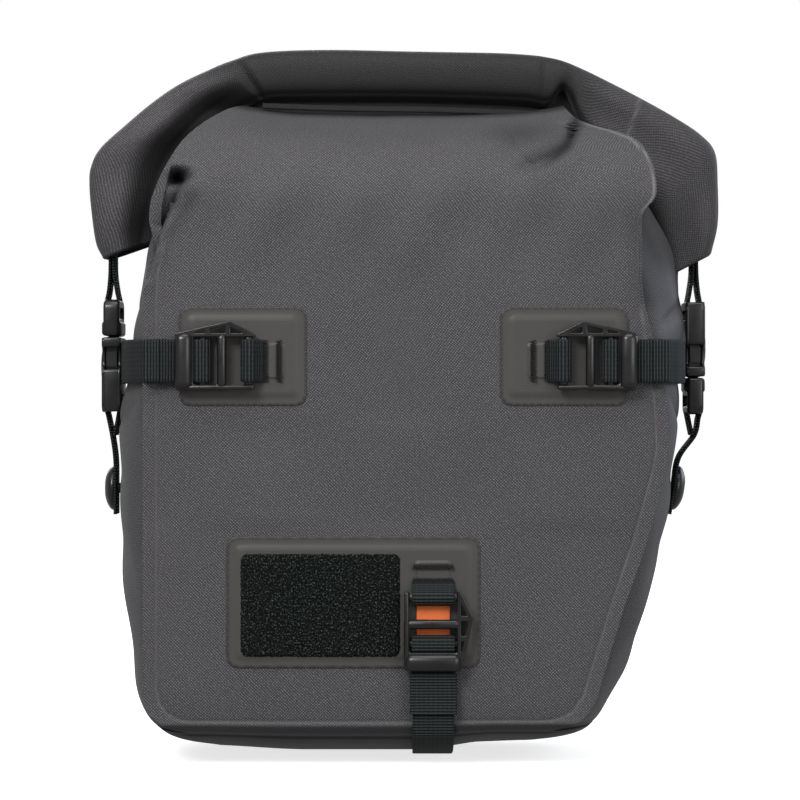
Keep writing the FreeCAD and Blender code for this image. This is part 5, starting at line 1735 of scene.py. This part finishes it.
@dataclass
class CarryHandle:
    """The webbing handle that hangs from the upper rail."""

    half: float = 36.0
    y: float = 66.0
    level: float = 234.0
    drop: float = 72.0

    def build(self) -> None:
        """Make the handle and fix it to its body."""
        route = [
            (-self.half, self.level - 3.5), (-self.half, self.level - 30), (-self.half + 1, self.level - 48),
            (-self.half + 9, self.level - self.drop + 14), (-12, self.level - self.drop + 10.3),
            (12, self.level - self.drop + 10.3), (self.half - 9, self.level - self.drop + 14),
            (self.half - 1, self.level - 48), (self.half, self.level - 30), (self.half, self.level - 3.5),
        ]
        path = smooth_line([(x, self.y, z) for x, z in route], 1.4)
        width = np.zeros((len(path), 3))
        tangent = np.gradient(path, axis=0)
        width[:, 0], width[:, 2] = -tangent[:, 2], tangent[:, 0]
        width /= np.linalg.norm(width, axis=1)[:, None]
        strip = self.flat_strap(path, width)
        eyes = []
        for sign in (-1, 1):
            angle = np.linspace(-0.35 * math.pi, 1.35 * math.pi, 24)
            depth, height = self.y + 3.5 * np.cos(angle), self.level + 3.5 * np.sin(angle)
            ring = np.column_stack([np.full(len(angle), sign * self.half), depth, height])
            eyes.append(ribbon("eye", ring, (1, 0, 0), 19.8, 1.3, WEBBING))
        whole = merge("carry_handle_strap", [strip, *eyes])
        settle(whole, "handle_body", "webbing", "carry_handle")

    def flat_strap(self, path: np.ndarray, width: np.ndarray) -> bpy.types.Object:
        """A strap that lies in the back's plane and bends edgewise.

        Args:
            path: its middle line.
            width: the direction of its width at each point.

        Returns:
            The strap.
        """
        top = [(-10, 0.6), (-5, 1.3), (5, 1.3), (10, 0.6)]
        section = np.array([*top, *((wide, -high) for wide, high in reversed(top))])
        wide, high = section[None, :, :1], section[None, :, 1:]
        points = path[:, None] + width[:, None] * wide + np.array([0, 1, 0]) * high
        length = np.concatenate([[0], np.cumsum(np.linalg.norm(np.diff(path, axis=0), axis=1))])
        uv = np.stack(np.broadcast_arrays(section[None, :, 0], length[:, None]), axis=-1)
        count = len(section)
        faces: list[Sequence[int]] = list(grid_faces(len(path), count, wrap=True))
        faces.append(range(count - 1, -1, -1))
        faces.append(range((len(path) - 1) * count, len(path) * count))
        return mesh_piece("strip", points.reshape(-1, 3), faces, WEBBING, uv.reshape(-1, 2))


@dataclass
class KeptParts:
    """The assembly's own rigid parts, which keep their shapes and get their finishes."""

    frame: dict
    finishes: tuple[tuple[str, Finish], ...] = (
        ("acetal", ACETAL),
        ("rail_aluminium", RAIL_METAL),
        ("stiffener_plastic", BOARD_PLASTIC),
        ("steel", STEEL),
        ("insert_rubber", LINER_RUBBER),
        ("hook_nylon", HOOK_NYLON),
    )

    def build(self) -> None:
        """Give every kept part that shows the finish of its slot."""
        finish_of = dict(self.finishes)
        slots = {row["node"]: row["material_slot"] for row in self.frame["record"]["subparts"]}
        for name, part in self.frame["nodes"].items():
            finish = finish_of.get(slots.get(name, ""), ACETAL)
            if part.hide_render:
                continue
            for place in part.material_slots:
                place.material = finish.material()
            LOG.info("%s keeps its shape", name)


# ---------------------------------------------------------------- studio


@dataclass
class Studio:
    """A pale floor, soft lights and a level camera in front of the bag."""

    distance: float = 1.5
    lens: float = 148.5
    height: float = 0.1666

    def build(self) -> None:
        """Set up floor, lights, surroundings and camera."""
        self.floor()
        self.surroundings()
        self.light("key", (-0.7, -1.5, 1.15), 0.7, 20.0)
        self.light("fill", (1.1, -1.5, 0.6), 1.0, 8.0)
        self.light("top", (0.1, -0.5, 1.6), 0.9, 7.0)
        self.light("rim", (1.0, 0.7, 0.6), 0.8, 4.0, "#dfeaff")
        self.light("back", (-0.5, 1.7, 0.9), 1.1, 14.0)
        self.camera()

    def floor(self) -> None:
        """A wide plain floor, hidden from diffuse and glossy rays so that it throws no light up."""
        size = 60000.0
        points = [(-size, -size, 0), (size, -size, 0), (size, size, 0), (-size, size, 0)]
        floor = mesh_piece("studio_floor", np.array(points), [(0, 1, 2, 3)], FLOOR_PAINT)
        floor.visible_diffuse = floor.visible_glossy = False

    def surroundings(self) -> None:
        """A world that the camera sees as white and that lights the bag at 0.3 of that."""
        world = bpy.data.worlds.new("white_surroundings")
        world.use_nodes = True
        tree = world.node_tree
        tree.nodes.clear()
        white = {"Color": (1, 1, 1, 1)}
        lights = [add_node(tree, "Background", white | {"Strength": part}) for part in (0.3, 1.0)]
        ray = add_node(tree, "LightPath")
        links = {0: ray.outputs["Is Camera Ray"], 1: lights[0].outputs[0], 2: lights[1].outputs[0]}
        mixed = add_node(tree, "MixShader", links=links)
        add_node(tree, "OutputWorld", links={"Surface": mixed.outputs[0]})
        bpy.context.scene.world = world
        bpy.context.scene.view_settings.view_transform = "Standard"

    def light(
        self, name: str, spot: Sequence[float], size: float, power: float, tint: str = "#ffffff"
    ) -> None:
        """Hang one soft light aimed at the bag.

        Args:
            name: the light's name.
            spot: where it hangs, in metres.
            size: its side, in metres.
            power: its power, in watts.
            tint: its colour.
        """
        lamp = bpy.data.lights.new(name, "AREA")
        lamp.size = size
        lamp.energy = power
        lamp.color = linear(tint)[:3]
        made = bpy.data.objects.new(name, lamp)
        made.location = spot
        aim = Vector((0, 0, 0.17)) - Vector(spot)
        made.rotation_euler = aim.to_track_quat("-Z", "Y").to_euler()
        bpy.context.scene.collection.objects.link(made)

    def camera(self) -> None:
        """A level camera, centred on the bag's front."""
        lens = bpy.data.cameras.new("front_camera")
        lens.lens = self.lens
        lens.sensor_width = 36.0
        made = bpy.data.objects.new("front_camera", lens)
        made.location = (-0.0016, FRONT * MM - self.distance, self.height)
        made.rotation_euler = (math.radians(90), 0, 0)
        bpy.context.scene.collection.objects.link(made)
        bpy.context.scene.camera = made


def main() -> None:
    """Build the pannier in order."""
    logging.basicConfig(level=logging.INFO, format="%(message)s")
    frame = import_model()
    Studio().build()
    shell = BagShell().build()
    panels = ("front_panel", "back_panel", "left_gusset", "right_gusset", "base_gusset", "roll_collar")
    settle(shell, "bag", "coated_nylon", *panels)
    closure = RolledClosure()
    roll = settle(closure.build(), "roll_top", "coated_nylon", "roll_closure")
    settle(closure.lip(), "roll_top", "coated_nylon")
    sleeve = closure.sleeve()
    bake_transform(sleeve)
    patches = (
        WeldedPatch("patch_upper_left_film", (-102.0, 164.0), (-44.0, 209.0)),
        WeldedPatch("patch_upper_right_film", (44.0, 164.0), (102.0, 209.0)),
        WeldedPatch("patch_lower_film", (-80.4, 44.8), (34.8, 104.5)),
    )
    for patch, node in zip(patches, ("patch_upper_left", "patch_upper_right", "patch_lower")):
        settle(patch.build(), "bag", "welded_patch", node)
    settle(LoopField().build(), "bag", "loop_field", "loop_field")
    tab = block("tab_cloth", (LOWER_STRAP_X, FRONT - 2.0, 65.6), (15.2, 0.8, 15.2), 0.35, TAB_CLOTH)
    settle(tab, "bag", "orange_tab", "size_tab")
    for place in Tension:
        Tensioner(place).build()
    CompressionStraps().build()
    for side in Side:
        SideBuckle(side).build()
    CarryHandle().build()
    KeptParts(frame).build()


if __name__ == "__main__":
    main()
